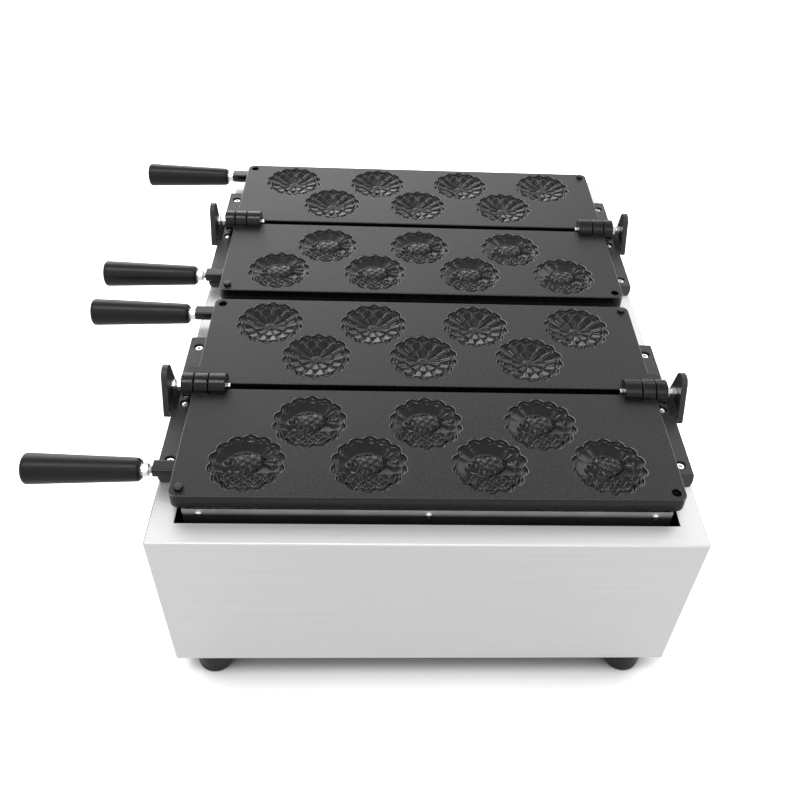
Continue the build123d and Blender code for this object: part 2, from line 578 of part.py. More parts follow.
# ---------------------------------------------------------------- hinge brackets and pins
def make_bracket(axis, side):
    """Bar on the top rim with an upright lug that holds the hinge pin."""
    middle = (bracket_inner + bracket_outer) / 2
    half = (bracket_outer - bracket_inner) / 2
    y_front = axis - bracket_front
    bar = box(bracket_inner, bracket_outer, y_front, axis + bracket_back, z_top, z_bracket)
    bar = fillet(bar.edges().filter_by(Axis.Z).sort_by(Axis.Y)[-2:], BRACKET_CORNER)
    toe = rod_z(middle, y_front, z_top, z_bracket, half)
    slope = radians(BRACKET_TOE_SLOPE)
    toe_top = Plane(origin=(middle, y_front, z_bracket), z_dir=(0, -sin(slope), cos(slope)))
    bar += split(toe, toe_top, keep=Keep.BOTTOM)
    lug_bottom = z_top + LUG_BOTTOM
    centre_z = z_axis + LUG_CENTRE_RISE
    outline = make_hull(
        [
            Pos(axis, centre_z) * CenterArc((0, 0), LUG_TOP_RADIUS, 0, 360),
            Line((axis - LUG_FOOT_FRONT, lug_bottom), (axis + LUG_FOOT_BACK, lug_bottom)),
            Line((axis - LUG_FOOT_FRONT, lug_bottom), (axis - LUG_FOOT_FRONT, lug_bottom + LUG_FOOT_RISE)),
        ]
    )
    lug = extrude(Plane(origin=(lug_inner, 0, 0), x_dir=(0, 1, 0), z_dir=(1, 0, 0)) * outline, LUG_THICKNESS)
    root = box(bracket_outer - PAST, lug_inner + PAST, axis - LUG_FOOT_FRONT, axis + LUG_FOOT_BACK,
               lug_bottom, z_bracket)
    web_foot = bracket_outer - LUG_WEB_FOOT
    web_top = z_bracket + LUG_WEB_RISE
    web_in = lug_inner + PAST
    web_face = make_face(Polyline((web_foot, z_bracket - PAST), (web_foot, z_bracket), (lug_inner, web_top),
                                  (web_in, web_top), (web_in, z_bracket - PAST), close=True))
    web_plane = Plane(origin=(0, axis + LUG_WEB_BACK, 0), x_dir=(1, 0, 0), z_dir=(0, -1, 0))
    part = bar + root + lug + extrude(web_plane * web_face, LUG_WEB_LENGTH)
    part -= rod_x(lug_inner - THROUGH, lug_outer + THROUGH, axis, z_axis, PIN_DIAMETER / 2 + SEAT_CLEARANCE)
    if side < 0:
        part = mirror(part, about=Plane.YZ)
    for x, y in bracket_hole_places():
        if x * side > 0 and abs(y - axis) < bracket_front:
            seat = z_bracket - BRACKET_COUNTERBORE_DEPTH
            part -= rod_z(x, y, z_top - PAST, z_bracket + PAST, BRACKET_SCREW / 2 + SCREW_HOLE_GAP)
            part -= rod_z(x, y, seat, z_bracket + LUG_WEB_RISE + THROUGH, BRACKET_COUNTERBORE / 2)
    return part


def make_hinges():
    """Brackets on the rim, hinge pins with their nuts, and the bracket screws."""
    nuts = []
    for row, axis in row_axis.items():
        pins = []
        for side_name, side in SIDES.items():
            nodes["hinge_bracket_" + row + "_" + side_name] = make_bracket(axis, side)
            tip = knuckle_start - PIN_TIP_REACH
            shoulder = knuckle_start - PIN_SHOULDER
            pin = rod_x(side * shoulder, side * lug_outer, axis, z_axis, PIN_DIAMETER / 2)
            pin += rod_x(side * tip, side * knuckle_start, axis, z_axis, PIN_TIP_DIAMETER / 2)
            pins.append(pin)
            at_knuckle = outer_knuckle[1] + PIN_NUT_GAP
            bore = PIN_DIAMETER / 2 + SEAT_CLEARANCE
            nuts.append(hex_x(side * at_knuckle, side * (at_knuckle + PIN_NUT_THICKNESS), axis, z_axis,
                              PIN_NUT_FLATS, bore))
            nuts.append(hex_x(side * (lug_inner - PIN_NUT_THICKNESS), side * lug_inner, axis, z_axis,
                              PIN_NUT_FLATS, bore))
        nodes["hinge_pins_" + row] = group(pins)
    nodes["hinge_pin_nuts"] = group(nuts)

    screws = []
    head_z = z_bracket - BRACKET_COUNTERBORE_DEPTH
    nut_z = z_top - SHEET
    for x, y in bracket_hole_places():
        head_top = head_z + BRACKET_SCREW_HEAD_HEIGHT
        head = rod_z(x, y, head_z, head_top, BRACKET_SCREW_HEAD / 2)
        head -= Pos(x, y, head_top - BRACKET_SOCKET) * extrude(RegularPolygon(BRACKET_SOCKET, 6), THROUGH)
        tail = nut_z - BRACKET_NUT_THICKNESS - BRACKET_SCREW_TAIL
        screws.append(head + rod_z(x, y, tail, head_z + PAST, BRACKET_SCREW / 2))
        screws.append(hex_z(x, y, nut_z - BRACKET_NUT_THICKNESS, nut_z, BRACKET_NUT_FLATS,
                            BRACKET_SCREW / 2 + SEAT_CLEARANCE))
    nodes["bracket_screws"] = group(screws)


# ---------------------------------------------------------------- griddle plates
def pocket_outline():
    """Round pocket with a scalloped rim."""
    outline = Circle(POCKET_RADIUS)
    ring = POCKET_RADIUS + SCALLOP_REACH - SCALLOP_RADIUS
    for step in range(SCALLOP_COUNT):
        angle = 2 * pi * (step + 0.5) / SCALLOP_COUNT
        outline += Pos(ring * cos(angle), ring * sin(angle)) * Circle(SCALLOP_RADIUS)
    return outline


def pocket_places(way):
    """Pocket centres relative to the row's hinge axis: four near the free edge, three near the hinge."""
    reach = POCKET_RADIUS + SCALLOP_REACH
    pitch = (PLATE_LENGTH - 2 * POCKET_END_MARGIN - 2 * reach) / 3
    y_far = free_edge - POCKET_EDGE_MARGIN - reach
    y_near = hinge_edge + POCKET_HINGE_MARGIN + reach
    far = [((i - 1.5) * pitch + POCKET_FAR_SHIFT, way * y_far) for i in range(4)]
    near = [((i - 1) * pitch + POCKET_NEAR_SHIFT, way * y_near) for i in range(3)]
    return far + near


def handle_place(way):
    """Handle axis relative to the row's hinge axis, and its height."""
    return way * (free_edge - (HANDLE_INSET_FRONT if way < 0 else HANDLE_INSET_BACK)), z_axis - HANDLE_DROP


def make_plate(plate):
    """Cast plate about a hinge axis at y = 0; way is -1 in front of the axis and +1 behind it."""
    way = PLATES[plate]
    middle = way * (hinge_edge + PLATE_DEPTH / 2)
    body = extrude(RectangleRounded(PLATE_LENGTH, PLATE_DEPTH, PLATE_CORNER), PLATE_THICKNESS)
    body = fillet(body.faces().sort_by(Axis.Z)[0].edges(), PLATE_LOWER_EDGE)
    body = chamfer(body.faces().sort_by(Axis.Z)[-1].edges(), PLATE_UPPER_EDGE)
    body = Pos(0, middle, z_plate_bottom) * body

    carries = (middle_knuckle,) if way < 0 else (inner_knuckle, outer_knuckle)
    clears = (inner_knuckle, outer_knuckle) if way < 0 else (middle_knuckle,)
    for side in SIDES.values():
        for x0, x1 in clears:
            gap = KNUCKLE_SIDE_GAP
            body -= rod_x(side * (x0 - gap), side * (x1 + gap), 0, z_axis, KNUCKLE_RADIUS + KNUCKLE_CLEARANCE)
        for x0, x1 in carries:
            body += rod_x(side * x0, side * x1, 0, z_axis, KNUCKLE_RADIUS)
            y0, y1 = sorted((0, way * (hinge_edge + KNUCKLE_ROOT)))
            body += box(side * x0, side * x1, y0, y1, z_axis - KNUCKLE_RADIUS, z_face)
        if way > 0:
            ear = box(side * (half_plate - EAR_ROOT), side * outer_knuckle[1], 0, EAR_REACH,
                      z_axis - KNUCKLE_RADIUS, z_face)
            far_corner = ear.edges().filter_by(Axis.Z).sort_by(Axis.Y)[-2:].sort_by(Axis.X)
            ear = fillet(far_corner[-1 if side > 0 else 0], EAR_CORNER)
            ear -= rod_x(side * middle_knuckle[0], side * (middle_knuckle[1] + KNUCKLE_SIDE_GAP), 0, z_axis,
                         KNUCKLE_RADIUS + KNUCKLE_CLEARANCE)
            body += ear
        for x0, x1 in carries:
            body -= rod_x(side * (x0 - PAST), side * (x1 + PAST), 0, z_axis,
                          PIN_DIAMETER / 2 + RUNNING_CLEARANCE)

    handle_y, handle_z = handle_place(way)
    boss = box(-half_plate - BOSS_REACH, -half_plate + BOSS_ROOT, handle_y - BOSS_WIDTH / 2,
               handle_y + BOSS_WIDTH / 2, handle_z - BOSS_HEIGHT / 2, handle_z + BOSS_HEIGHT / 2)
    along = boss.edges().filter_by(Axis.X).sort_by(Axis.Z)
    boss = chamfer(along[:2], BOSS_LOWER_CHAMFER)
    boss = fillet(boss.edges().filter_by(Axis.X).sort_by(Axis.Z)[-2:], BOSS_ROUND)
    body += boss
    boss_end = -half_plate - BOSS_REACH
    body -= rod_x(boss_end - PAST, boss_end + STUD_IN_PLATE + PAST, handle_y, handle_z,
                  STUD_DIAMETER / 2 + SEAT_CLEARANCE)

    cutter = extrude(pocket_outline(), POCKET_DEPTH, dir=(0, 0, -1), taper=POCKET_DRAFT)
    body -= [Pos(x, y, z_face) * cutter for x, y in pocket_places(way)]
    locator_x = half_plate - LOCATOR_INSET
    locator_y = way * (free_edge - LOCATOR_INSET)
    pin_side = -1 if way < 0 else 1
    body -= rod_z(-pin_side * locator_x, locator_y, z_face - LOCATOR_HOLE_DEPTH, z_face + PAST,
                  LOCATOR_HOLE / 2)
    body -= rod_z(pin_side * locator_x, locator_y, z_face - LOCATOR_PIN_SEAT, z_face + PAST,
                  LOCATOR_PIN / 2 + SEAT_CLEARANCE)
    pin = rod_z(pin_side * locator_x, locator_y, z_face - LOCATOR_PIN_SEAT, z_face + LOCATOR_PIN_RISE,
                LOCATOR_PIN / 2)
    pin = chamfer(pin.faces().sort_by(Axis.Z)[-1].edges(), LOCATOR_PIN_CHAMFER)
    return body, pin


def make_handle(plate):
    """Tapered round grip, its stud, nut and washer, about a hinge axis at y = 0."""
    way = PLATES[plate]
    handle_y, handle_z = handle_place(way)
    boss_end = -half_plate - BOSS_REACH
    root = boss_end - (STUD_OPEN_FRONT if way < 0 else STUD_OPEN_BACK)
    profile = Polyline((0, 0), (HANDLE_ROOT_DIAMETER / 2, 0), (HANDLE_END_DIAMETER / 2, HANDLE_LENGTH),
                       (0, HANDLE_LENGTH), close=True)
    grip = revolve(Plane.XZ * make_face(profile), axis=Axis.Z)
    grip = fillet(grip.faces().sort_by(Axis.Z)[0].edges(), HANDLE_ROOT_ROUND)
    grip = fillet(grip.faces().sort_by(Axis.Z)[-1].edges(), HANDLE_END_ROUND)
    grip -= rod_z(0, 0, -PAST, STUD_IN_HANDLE + PAST, STUD_DIAMETER / 2 + SEAT_CLEARANCE)
    grip = Plane(origin=(root, handle_y, handle_z), z_dir=(-1, 0, 0)) * grip
    stud = rod_x(boss_end + STUD_IN_PLATE, root - STUD_IN_HANDLE, handle_y, handle_z, STUD_DIAMETER / 2)
    bore = STUD_DIAMETER / 2 + SEAT_CLEARANCE
    nut = hex_x(boss_end - STUD_NUT_THICKNESS, boss_end, handle_y, handle_z, STUD_NUT_FLATS, bore)
    washer = rod_x(root, root + STUD_WASHER_THICKNESS, handle_y, handle_z, STUD_WASHER / 2)
    washer -= rod_x(root - PAST, root + STUD_WASHER_THICKNESS + PAST, handle_y, handle_z, bore)
    return grip, group([stud, nut, washer])


def make_plates():
    """Both rows' plates, locating pins, handles and studs."""
    cast = {plate: make_plate(plate) + make_handle(plate) for plate in PLATES}
    for row, axis in row_axis.items():
        for plate in PLATES:
            name = row + "_" + plate
            prefixes = ("", "locating_pin_", "handle_", "handle_stud_")
            for prefix, shape in zip(prefixes, cast[plate]):
                nodes[prefix + name] = Pos(0, axis, 0) * shape


# ---------------------------------------------------------------- controls, on the operator's side
def knob_y(row):
    return (-1 if row == "front_row" else 1) * KNOB_SPACING / 2


def switch_y(row):
    return knob_y(row) + (-1 if row == "front_row" else 1) * SWITCH_OFFSET


def lamp_place(row):
    return knob_y(row) + (1 if row == "front_row" else -1) * LAMP_OFFSET, panel_z + LAMP_RISE


def make_controls():
    """Control panel with both rows' thermostats, knobs, switches and lamps."""
    panel_face = RectangleRounded(panel_length, PANEL_HEIGHT, PANEL_CORNER)
    panel = extrude(Plane(origin=(-half_width, 0, panel_z), x_dir=(0, -1, 0), z_dir=(-1, 0, 0)) * panel_face,
                    PANEL_SHEET)
    body_z, body_y = SWITCH_BODY
    half_y = body_y / 2 + SCREW_HOLE_GAP
    half_z = body_z / 2 + SCREW_HOLE_GAP
    x0, x1 = panel_outside - PAST, -half_width + PAST
    for row in row_axis:
        y_knob, y_switch = knob_y(row), switch_y(row)
        y_lamp, z_lamp = lamp_place(row)
        panel -= rod_x(x0, x1, y_knob, panel_z, THERMOSTAT_NECK / 2 + SCREW_HOLE_GAP)
        panel -= box(x0, x1, y_switch - half_y, y_switch + half_y, panel_z - half_z, panel_z + half_z)
        panel -= rod_x(x0, x1, y_lamp, z_lamp, LAMP_NECK / 2 + SCREW_HOLE_GAP)
        make_thermostat(row, y_knob)
        make_switch(row, y_switch, panel_z)
        lens = rod_x(panel_outside - LAMP_LENS_RISE, panel_outside, y_lamp, z_lamp, LAMP_LENS_DIAMETER / 2)
        lens = fillet(lens.faces().sort_by(Axis.X)[0].edges(), LAMP_LENS_ROUND)
        neck = rod_x(panel_outside - PAST, -half_width + LAMP_DEPTH, y_lamp, z_lamp, LAMP_NECK / 2)
        nodes["pilot_lamp_" + row] = lens + neck
    nodes["control_panel"] = screw_holes(panel)


def make_thermostat(row, y):
    """Thermostat case with its neck, its spindle and the knob on it, the pointer up."""
    size_x, size_y, size_z = THERMOSTAT_SIZE
    case = box(-half_width, -half_width + size_x, y - size_y / 2, y + size_y / 2, panel_z - size_z / 2,
               panel_z + size_z / 2)
    case = fillet(case.edges().filter_by(Axis.X), THERMOSTAT_CORNER)
    neck_end = panel_outside - KNOB_PANEL_GAP / 2
    case += rod_x(neck_end, -half_width + PAST, y, panel_z, THERMOSTAT_NECK / 2)
    spindle_in = -half_width + SPINDLE_DEPTH
    spindle_out = spindle_in - SPINDLE_LENGTH
    case -= rod_x(neck_end - PAST, spindle_in + SPINDLE_END_GAP, y, panel_z,
                  SPINDLE_DIAMETER / 2 + RUNNING_CLEARANCE)
    nodes["thermostat_" + row] = case
    nodes["thermostat_spindle_" + row] = rod_x(spindle_out, spindle_in, y, panel_z, SPINDLE_DIAMETER / 2)

    knob_in = panel_outside - KNOB_PANEL_GAP
    knob_out = knob_in - KNOB_HEIGHT
    knob = rod_x(knob_in - KNOB_SKIRT, knob_in, y, panel_z, KNOB_DIAMETER / 2)
    knob += rod_x(knob_out, knob_in - PAST, y, panel_z, KNOB_GRIP_DIAMETER / 2)
    knob = fillet(knob.faces().sort_by(Axis.X)[0].edges(), KNOB_ROUND)
    knob += box(knob_out - POINTER_STEP, knob_in - POINTER_STEP, y - POINTER_WIDTH / 2, y + POINTER_WIDTH / 2,
                panel_z + POINTER_START, panel_z + KNOB_GRIP_DIAMETER / 2 + POINTER_REACH)
    knob -= rod_x(spindle_out, knob_in + PAST, y, panel_z, SPINDLE_DIAMETER / 2 + SEAT_CLEARANCE)
    knob -= rod_x(knob_in - KNOB_NECK_DEPTH, knob_in + PAST, y, panel_z, THERMOSTAT_NECK / 2 + KNOB_NECK_GAP)
    nodes["thermostat_knob_" + row] = knob


def make_switch(row, y, z):
    """Snap-in rocker switch: body with a bezel, and the rocker in its off position."""
    bezel_z, bezel_y = SWITCH_BEZEL
    body_z, body_y = SWITCH_BODY
    front = panel_outside - SWITCH_BEZEL_RISE
    body = box(front, panel_outside, y - bezel_y / 2, y + bezel_y / 2, z - bezel_z / 2, z + bezel_z / 2)
    body += box(panel_outside - PAST, -half_width + SWITCH_BODY_DEPTH, y - body_y / 2, y + body_y / 2,
                z - body_z / 2, z + body_z / 2)
    pivot_x = panel_outside + ROCKER_PIVOT_DEPTH
    well_radius = ROCKER_LENGTH / 2 + ROCKER_GAP
    half_rocker = ROCKER_WIDTH / 2
    body -= rod_y(pivot_x, y - half_rocker - ROCKER_GAP, y + half_rocker + ROCKER_GAP, z, well_radius)
    nodes["switch_body_" + row] = body
    drum = rod_y(pivot_x, y - half_rocker, y + half_rocker, z, ROCKER_LENGTH / 2)
    tilt = radians(ROCKER_TILT)
    halves = []
    for way in (-1, 1):
        facet = Plane(origin=(front - ROCKER_PROUD, y, z), z_dir=(-cos(tilt), 0, way * sin(tilt)))
        halves.append(split(drum, facet, keep=Keep.BOTTOM))
    turned = Pos(pivot_x, y, z) * Rot(0, ROCKER_TILT, 0) * Pos(-pivot_x, -y, -z)
    nodes["switch_rocker_" + row] = turned * (halves[0] + halves[1])


def make_internals():
    """Bulbs, terminal block, gland and wiring."""
    for row in row_axis:
        y_bulb = bulb_y(row)
        y_start = knob_y(row)
        z_start = panel_z - 6
        x_start = -half_width + THERMOSTAT_SIZE[0]
        z_bulb = z_heat_bottom + HEAT_BOX_SHEET + INSULATION_THICKNESS + BULB_DIAMETER / 2 + BULB_GAP
        path = [(x_start, y_start, z_start), (x_start + 22, y_start, z_start),
                (bulb_riser_x, y_bulb, z_start + 24), (bulb_riser_x, y_bulb, z_bulb),
                (bulb_riser_x + 30, y_bulb, z_bulb)]
        capillary = tube(path, 8.0, CAPILLARY_DIAMETER / 2)
        bulb = rod_x(bulb_riser_x + 29, bulb_riser_x + 29 + BULB_LENGTH, y_bulb, z_bulb, BULB_DIAMETER / 2)
        nodes["thermostat_bulb_" + row] = capillary + bulb

    make_terminal_block()
    make_gland()
    make_wiring()
    nodes["pan_head_screws"] = group(
        [pan_screw(place, outwards, PAN_HEAD / 2, PAN_SCREW / 2, PAN_SCREW_LENGTH)
         for place, outwards in pan_screw_places()]
    )


def make_terminal_block():
    """Block on the pan with two rows of screw holes."""
    size_x, size_y, size_z = TERMINAL_BLOCK_SIZE
    pan_top = z_floor + PAN_SHEET
    block = box(block_x - size_x / 2, block_x + size_x / 2, block_y - size_y / 2, block_y + size_y / 2,
                pan_top, pan_top + size_z)
    pitch = size_y / (TERMINAL_WAYS + 0.5)
    for way in range(TERMINAL_WAYS):
        y = block_y + (way - (TERMINAL_WAYS - 1) / 2) * pitch
        for side in SIDES.values():
            block -= rod_z(block_x + side * size_x / 4, y, pan_top + size_z - TERMINAL_SCREW_HOLE,
                           pan_top + size_z + PAST, TERMINAL_SCREW_HOLE / 2)
    nodes["terminal_block"] = block


def make_gland():
    """Cable gland through the back wall: screwed sleeve, domed nut outside and lock nut inside."""
    sleeve = Cylinder(GLAND_DIAMETER / 2, GLAND_INSIDE, align=(Align.CENTER, Align.CENTER, Align.MAX))
    dome_radius = GLAND_DIAMETER / 2 + GLAND_DOME_WALL
    dome = Cylinder(dome_radius, GLAND_OUTSIDE, align=(Align.CENTER, Align.CENTER, Align.MIN))
    dome = fillet(dome.faces().sort_by(Axis.Z)[-1].edges(), GLAND_DOME_ROUND)
    hexagon = RegularPolygon(GLAND_NUT_FLATS / 2, 6, major_radius=False)
    lock_nut = Pos(0, 0, -SHEET - GLAND_NUT_THICKNESS) * extrude(hexagon, GLAND_NUT_THICKNESS)
    gland = sleeve + dome + lock_nut - Cylinder(GLAND_BORE / 2, 4 * GLAND_OUTSIDE)
    nodes["cable_gland"] = Plane(origin=(gland_x, half_depth, gland_z), z_dir=(0, 1, 0)) * gland


def make_wiring():
    """Supply wires to the switches, on to the thermostats, the element links and their returns."""
    wires = []
    radius = WIRE_DIAMETER / 2
    x_switch = -half_width + SWITCH_BODY_DEPTH + WIRE_END_GAP
    x_case = -half_width + THERMOSTAT_SIZE[0] + WIRE_END_GAP
    x_block = block_x - TERMINAL_BLOCK_SIZE[0] / 2 - WIRE_END_GAP
    x_common = -half_heat - ELEMENT_TAIL - TERMINAL_PIN_LENGTH / 4
    x_return = -half_heat - ELEMENT_TAIL - TERMINAL_PIN_LENGTH * 3 / 4
    z_low = z_floor + PAN_SHEET + 8
    pin_gap = TERMINAL_PIN / 2 + WIRE_END_GAP
    for number, (row, axis) in enumerate(row_axis.items()):
        outwards = -1 if row == "front_row" else 1
        y_block = block_y + (number - 0.5) * 30
        y_switch = switch_y(row)
        x_lane = x_switch + 22 + 6 * number
        wires.append(tube([(x_block, y_block, z_low), (x_lane, y_block, z_low), (x_lane, y_switch, z_low),
                           (x_lane, y_switch, panel_z), (x_switch, y_switch, panel_z)], 7, radius))
        y_case = knob_y(row) + outwards * 12
        z_hop = panel_z - 8
        x_hop = x_case + 9
        wires.append(tube([(x_switch, y_switch, z_hop), (x_hop, y_switch, z_hop), (x_hop, y_case, z_hop),
                           (x_case, y_case, z_hop)], 6, radius))
        z_case_top = panel_z + THERMOSTAT_SIZE[2] / 2 + WIRE_END_GAP
        y_up = knob_y(row) - outwards * 12
        y_rise = axis + 8
        z_over = z_case_top + 20
        z_link = z_element - radius - WIRE_END_GAP
        wires.append(tube([(x_common, y_up, z_case_top), (x_common, y_up, z_over), (x_common, y_rise, z_over),
                           (x_common, y_rise, z_link)], 6, radius))
        pins = sorted(element_ys(row, "front_plate") + element_ys(row, "back_plate"))
        wires.append(rod_y(x_common, pins[1] + pin_gap, pins[2] - pin_gap, z_element, radius))
        z_bus = z_element - 16
        z_pin = z_element - pin_gap
        wires.append(tube([(x_return, pins[0], z_pin), (x_return, pins[0], z_bus), (x_return, pins[3], z_bus),
                           (x_return, pins[3], z_pin)], 6, radius))
        x_down = x_lane + 15
        y_down = axis - 12
        y_end = y_block + 12
        z_level = z_low + 12
        wires.append(tube([(x_return, y_down, z_bus - radius - WIRE_END_GAP), (x_return, y_down, z_rail - 18),
                           (x_down, y_down, z_rail - 18), (x_down, y_down, z_level), (x_down, y_end, z_level),
                           (x_block, y_end, z_level)], 6, radius))
    nodes["wiring"] = group(wires)


make_housing()
make_feet()
make_heater()
make_hinges()
make_plates()
make_controls()
make_internals()

# ---------------------------------------------------------------- common origin and files
reach_left = half_plate + BOSS_REACH + STUD_OPEN_FRONT + HANDLE_LENGTH
origin_x = (lug_outer - reach_left) / 2
origin_y = GLAND_OUTSIDE / 2
os.makedirs("parts", exist_ok=True)
for name, shape in nodes.items():
    export_step(Pos(-origin_x, -origin_y, 0) * shape, "parts/" + name + ".step")
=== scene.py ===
# %% [markdown]
# # A countertop griddle with folding plates
# Two rows of cast plates lie open on a brushed steel heater housing. Each row's plates share a hinge line,
# and each plate has seven round pockets, so that one fills the pockets and folds one plate over the other.
# The measured solids come in first. Every later step either gives a solid its real finish, or makes a finer
# piece that stands in its place.

# %% Load the measured solids
import json
from math import pi, radians

import bmesh
import bpy
import numpy as np
from mathutils import Matrix, Vector


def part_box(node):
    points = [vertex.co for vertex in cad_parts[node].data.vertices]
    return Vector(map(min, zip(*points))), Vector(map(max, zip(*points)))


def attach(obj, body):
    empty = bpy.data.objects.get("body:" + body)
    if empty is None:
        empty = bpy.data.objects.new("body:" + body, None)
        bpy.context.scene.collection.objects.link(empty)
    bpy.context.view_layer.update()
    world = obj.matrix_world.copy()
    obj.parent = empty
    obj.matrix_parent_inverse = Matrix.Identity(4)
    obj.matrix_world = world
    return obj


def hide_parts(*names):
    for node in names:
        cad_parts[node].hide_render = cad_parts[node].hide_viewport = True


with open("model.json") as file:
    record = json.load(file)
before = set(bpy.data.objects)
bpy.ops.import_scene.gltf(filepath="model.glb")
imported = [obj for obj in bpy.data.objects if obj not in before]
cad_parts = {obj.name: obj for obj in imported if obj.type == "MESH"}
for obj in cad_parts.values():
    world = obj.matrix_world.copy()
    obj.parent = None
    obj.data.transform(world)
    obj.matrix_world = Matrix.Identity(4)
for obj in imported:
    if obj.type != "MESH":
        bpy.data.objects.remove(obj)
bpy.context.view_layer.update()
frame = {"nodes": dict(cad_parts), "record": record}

MM = 0.001
solids = frame["nodes"]
record = frame["record"]
ROWS = ("front_row", "back_row")
SIDES = {"front_plate": -1, "back_plate": 1}
body_with = {node: body for body, members in record["behaviour"]["bodies"].items() for node in members}
slot_with = {part["node"]: part["material_slot"] for part in record["subparts"]}

# %% [markdown]
# ## The camera
# The griddle is seen from in front and well above, through a slightly long lens. Near objects show strong
# perspective: the housing's front is clearly wider than its back. The lens is moved sideways a little rather
# than turned, because the machine stands off the middle of the picture.

# %% Place the camera
CAMERA_PLACE = (0.0119, -0.9125, 0.9661)
CAMERA_TURN = (46.518, -2.707, -1.665)
FOCAL_LENGTH = 38.54
SENSOR_WIDTH = 36.0
LENS_SHIFT = -0.0373

bpy.ops.object.camera_add(location=CAMERA_PLACE, rotation=[radians(angle) for angle in CAMERA_TURN])
camera = bpy.context.object
camera.name = "camera"
camera.data.sensor_width = SENSOR_WIDTH
camera.data.lens = FOCAL_LENGTH
camera.data.shift_x = LENS_SHIFT
bpy.context.scene.camera = camera
bpy.context.scene.view_settings.view_transform = "Standard"

# %% [markdown]
# ## Writing finishes as sums
# A finish is a small network of nodes. Wiring them one call at a time hides what they do, so a thin class
# wraps a socket and lets plain arithmetic add the Math nodes. Everything else goes through one method, which
# takes the node's type, its settings and what feeds it.

# %% A socket that can be added and multiplied
class Value:
    """One node output. Arithmetic on it adds Math nodes to its paint."""

    def __init__(self, paint, socket):
        self.paint = paint
        self.socket = socket

    def math(self, operation, *others):
        return self.paint.add("ShaderNodeMath", {"operation": operation}, dict(enumerate((self, *others))))

    def __add__(self, other):
        return self.math("ADD", other)

    def __sub__(self, other):
        return self.math("SUBTRACT", other)

    def __mul__(self, other):
        return self.math("MULTIPLY", other)

    def __rsub__(self, other):
        return self.math("MULTIPLY", -1.0).math("ADD", other)

    __rmul__ = __mul__


# %% A finish under way
class Paint:
    """A material being mixed around its Principled shader."""

    def __init__(self, name, **fixed):
        self.material = bpy.data.materials.new(name)
        self.material.use_nodes = True
        self.tree = self.material.node_tree
        self.shader = self.tree.nodes["Principled BSDF"]
        for socket, value in fixed.items():
            self.feed(self.shader.inputs[socket.replace("_", " ")], value)

    def feed(self, socket, value):
        if isinstance(value, Value):
            self.tree.links.new(value.socket, socket)
        else:
            socket.default_value = value

    def add(self, kind, settings=None, inputs=None, output=0):
        node = self.tree.nodes.new(kind)
        for name, value in (settings or {}).items():
            setattr(node, name, value)
        for name, value in (inputs or {}).items():
            self.feed(node.inputs[name], value)
        return Value(self, node.outputs[output]) if node.outputs else node

    def place(self, scale=(1, 1, 1)):
        """Object coordinates, in metres, stretched by a scale."""
        where = self.add("ShaderNodeTexCoord", output="Object")
        return self.add("ShaderNodeMapping", inputs={"Vector": where, "Scale": scale})

    def facing(self):
        """The surface's normal in object space."""
        return self.add("ShaderNodeTexCoord", output="Normal")

    def noise(self, scale, detail=2.0, rough=0.5, stretch=(1, 1, 1), vector=None):
        inputs = {"Scale": scale, "Detail": detail, "Roughness": rough}
        return self.add("ShaderNodeTexNoise", inputs={"Vector": vector or self.place(stretch), **inputs})

    def part_of(self, value, low, high, to_low=0.0, to_high=1.0):
        """Stretches low..high of a value to another range and clips it there."""
        inputs = dict(enumerate((value, low, high, to_low, to_high)))
        return self.add("ShaderNodeMapRange", inputs=inputs)

    def mix(self, share, first, second):
        """Blends two colours."""
        return self.add("ShaderNodeMix", {"data_type": "RGBA"}, {0: share, 6: first, 7: second}, output=2)

    def feed_varying(self, **varied):
        """Feeds what changes over the surface to the shader."""
        for socket, value in varied.items():
            self.feed(self.shader.inputs[socket.replace("_", " ")], value)

    def bump(self, height, distance):
        """Small relief, with its height in metres."""
        normal = self.add("ShaderNodeBump", inputs={"Height": height, "Distance": distance})
        self.feed(self.shader.inputs["Normal"], normal)


def grey(level):
    return (level, level, level, 1.0)


# %% [markdown]
# ## Dark non-stick casting
# The plates are cast aluminium under a dark non-stick coat: satin, with a faint cloudiness from spraying and
# a fine grain on what faces up. The pockets, where oil has been, and the knuckles, which hands and pins
# polish, are glossier. Both are also coloured darker: the pockets as painted shade in the hollows, the
# knuckles in a darker tone. The rounded rims of the pockets and the plates' upper edges are painted pale and
# metallic as a painted highlight, most where they face along the hinge. All of them are picked out by how
# far they lie over or under the plates' faces.

# %% Finish of the griddle plates
face_height = next(o for o in record["physics"]["openings"] if o["name"].startswith("pocket"))["box_m"][1][2]
IN_POCKET = (-0.8, -2.5)
UNDER_POCKET = (-9.5, -10.0)
ON_KNUCKLE = (1.0, 4.0)
ON_RIM = (-0.04, -0.2)
BELOW_RIM = (-0.7, -1.1)
GRAIN_RELIEF = 0.26


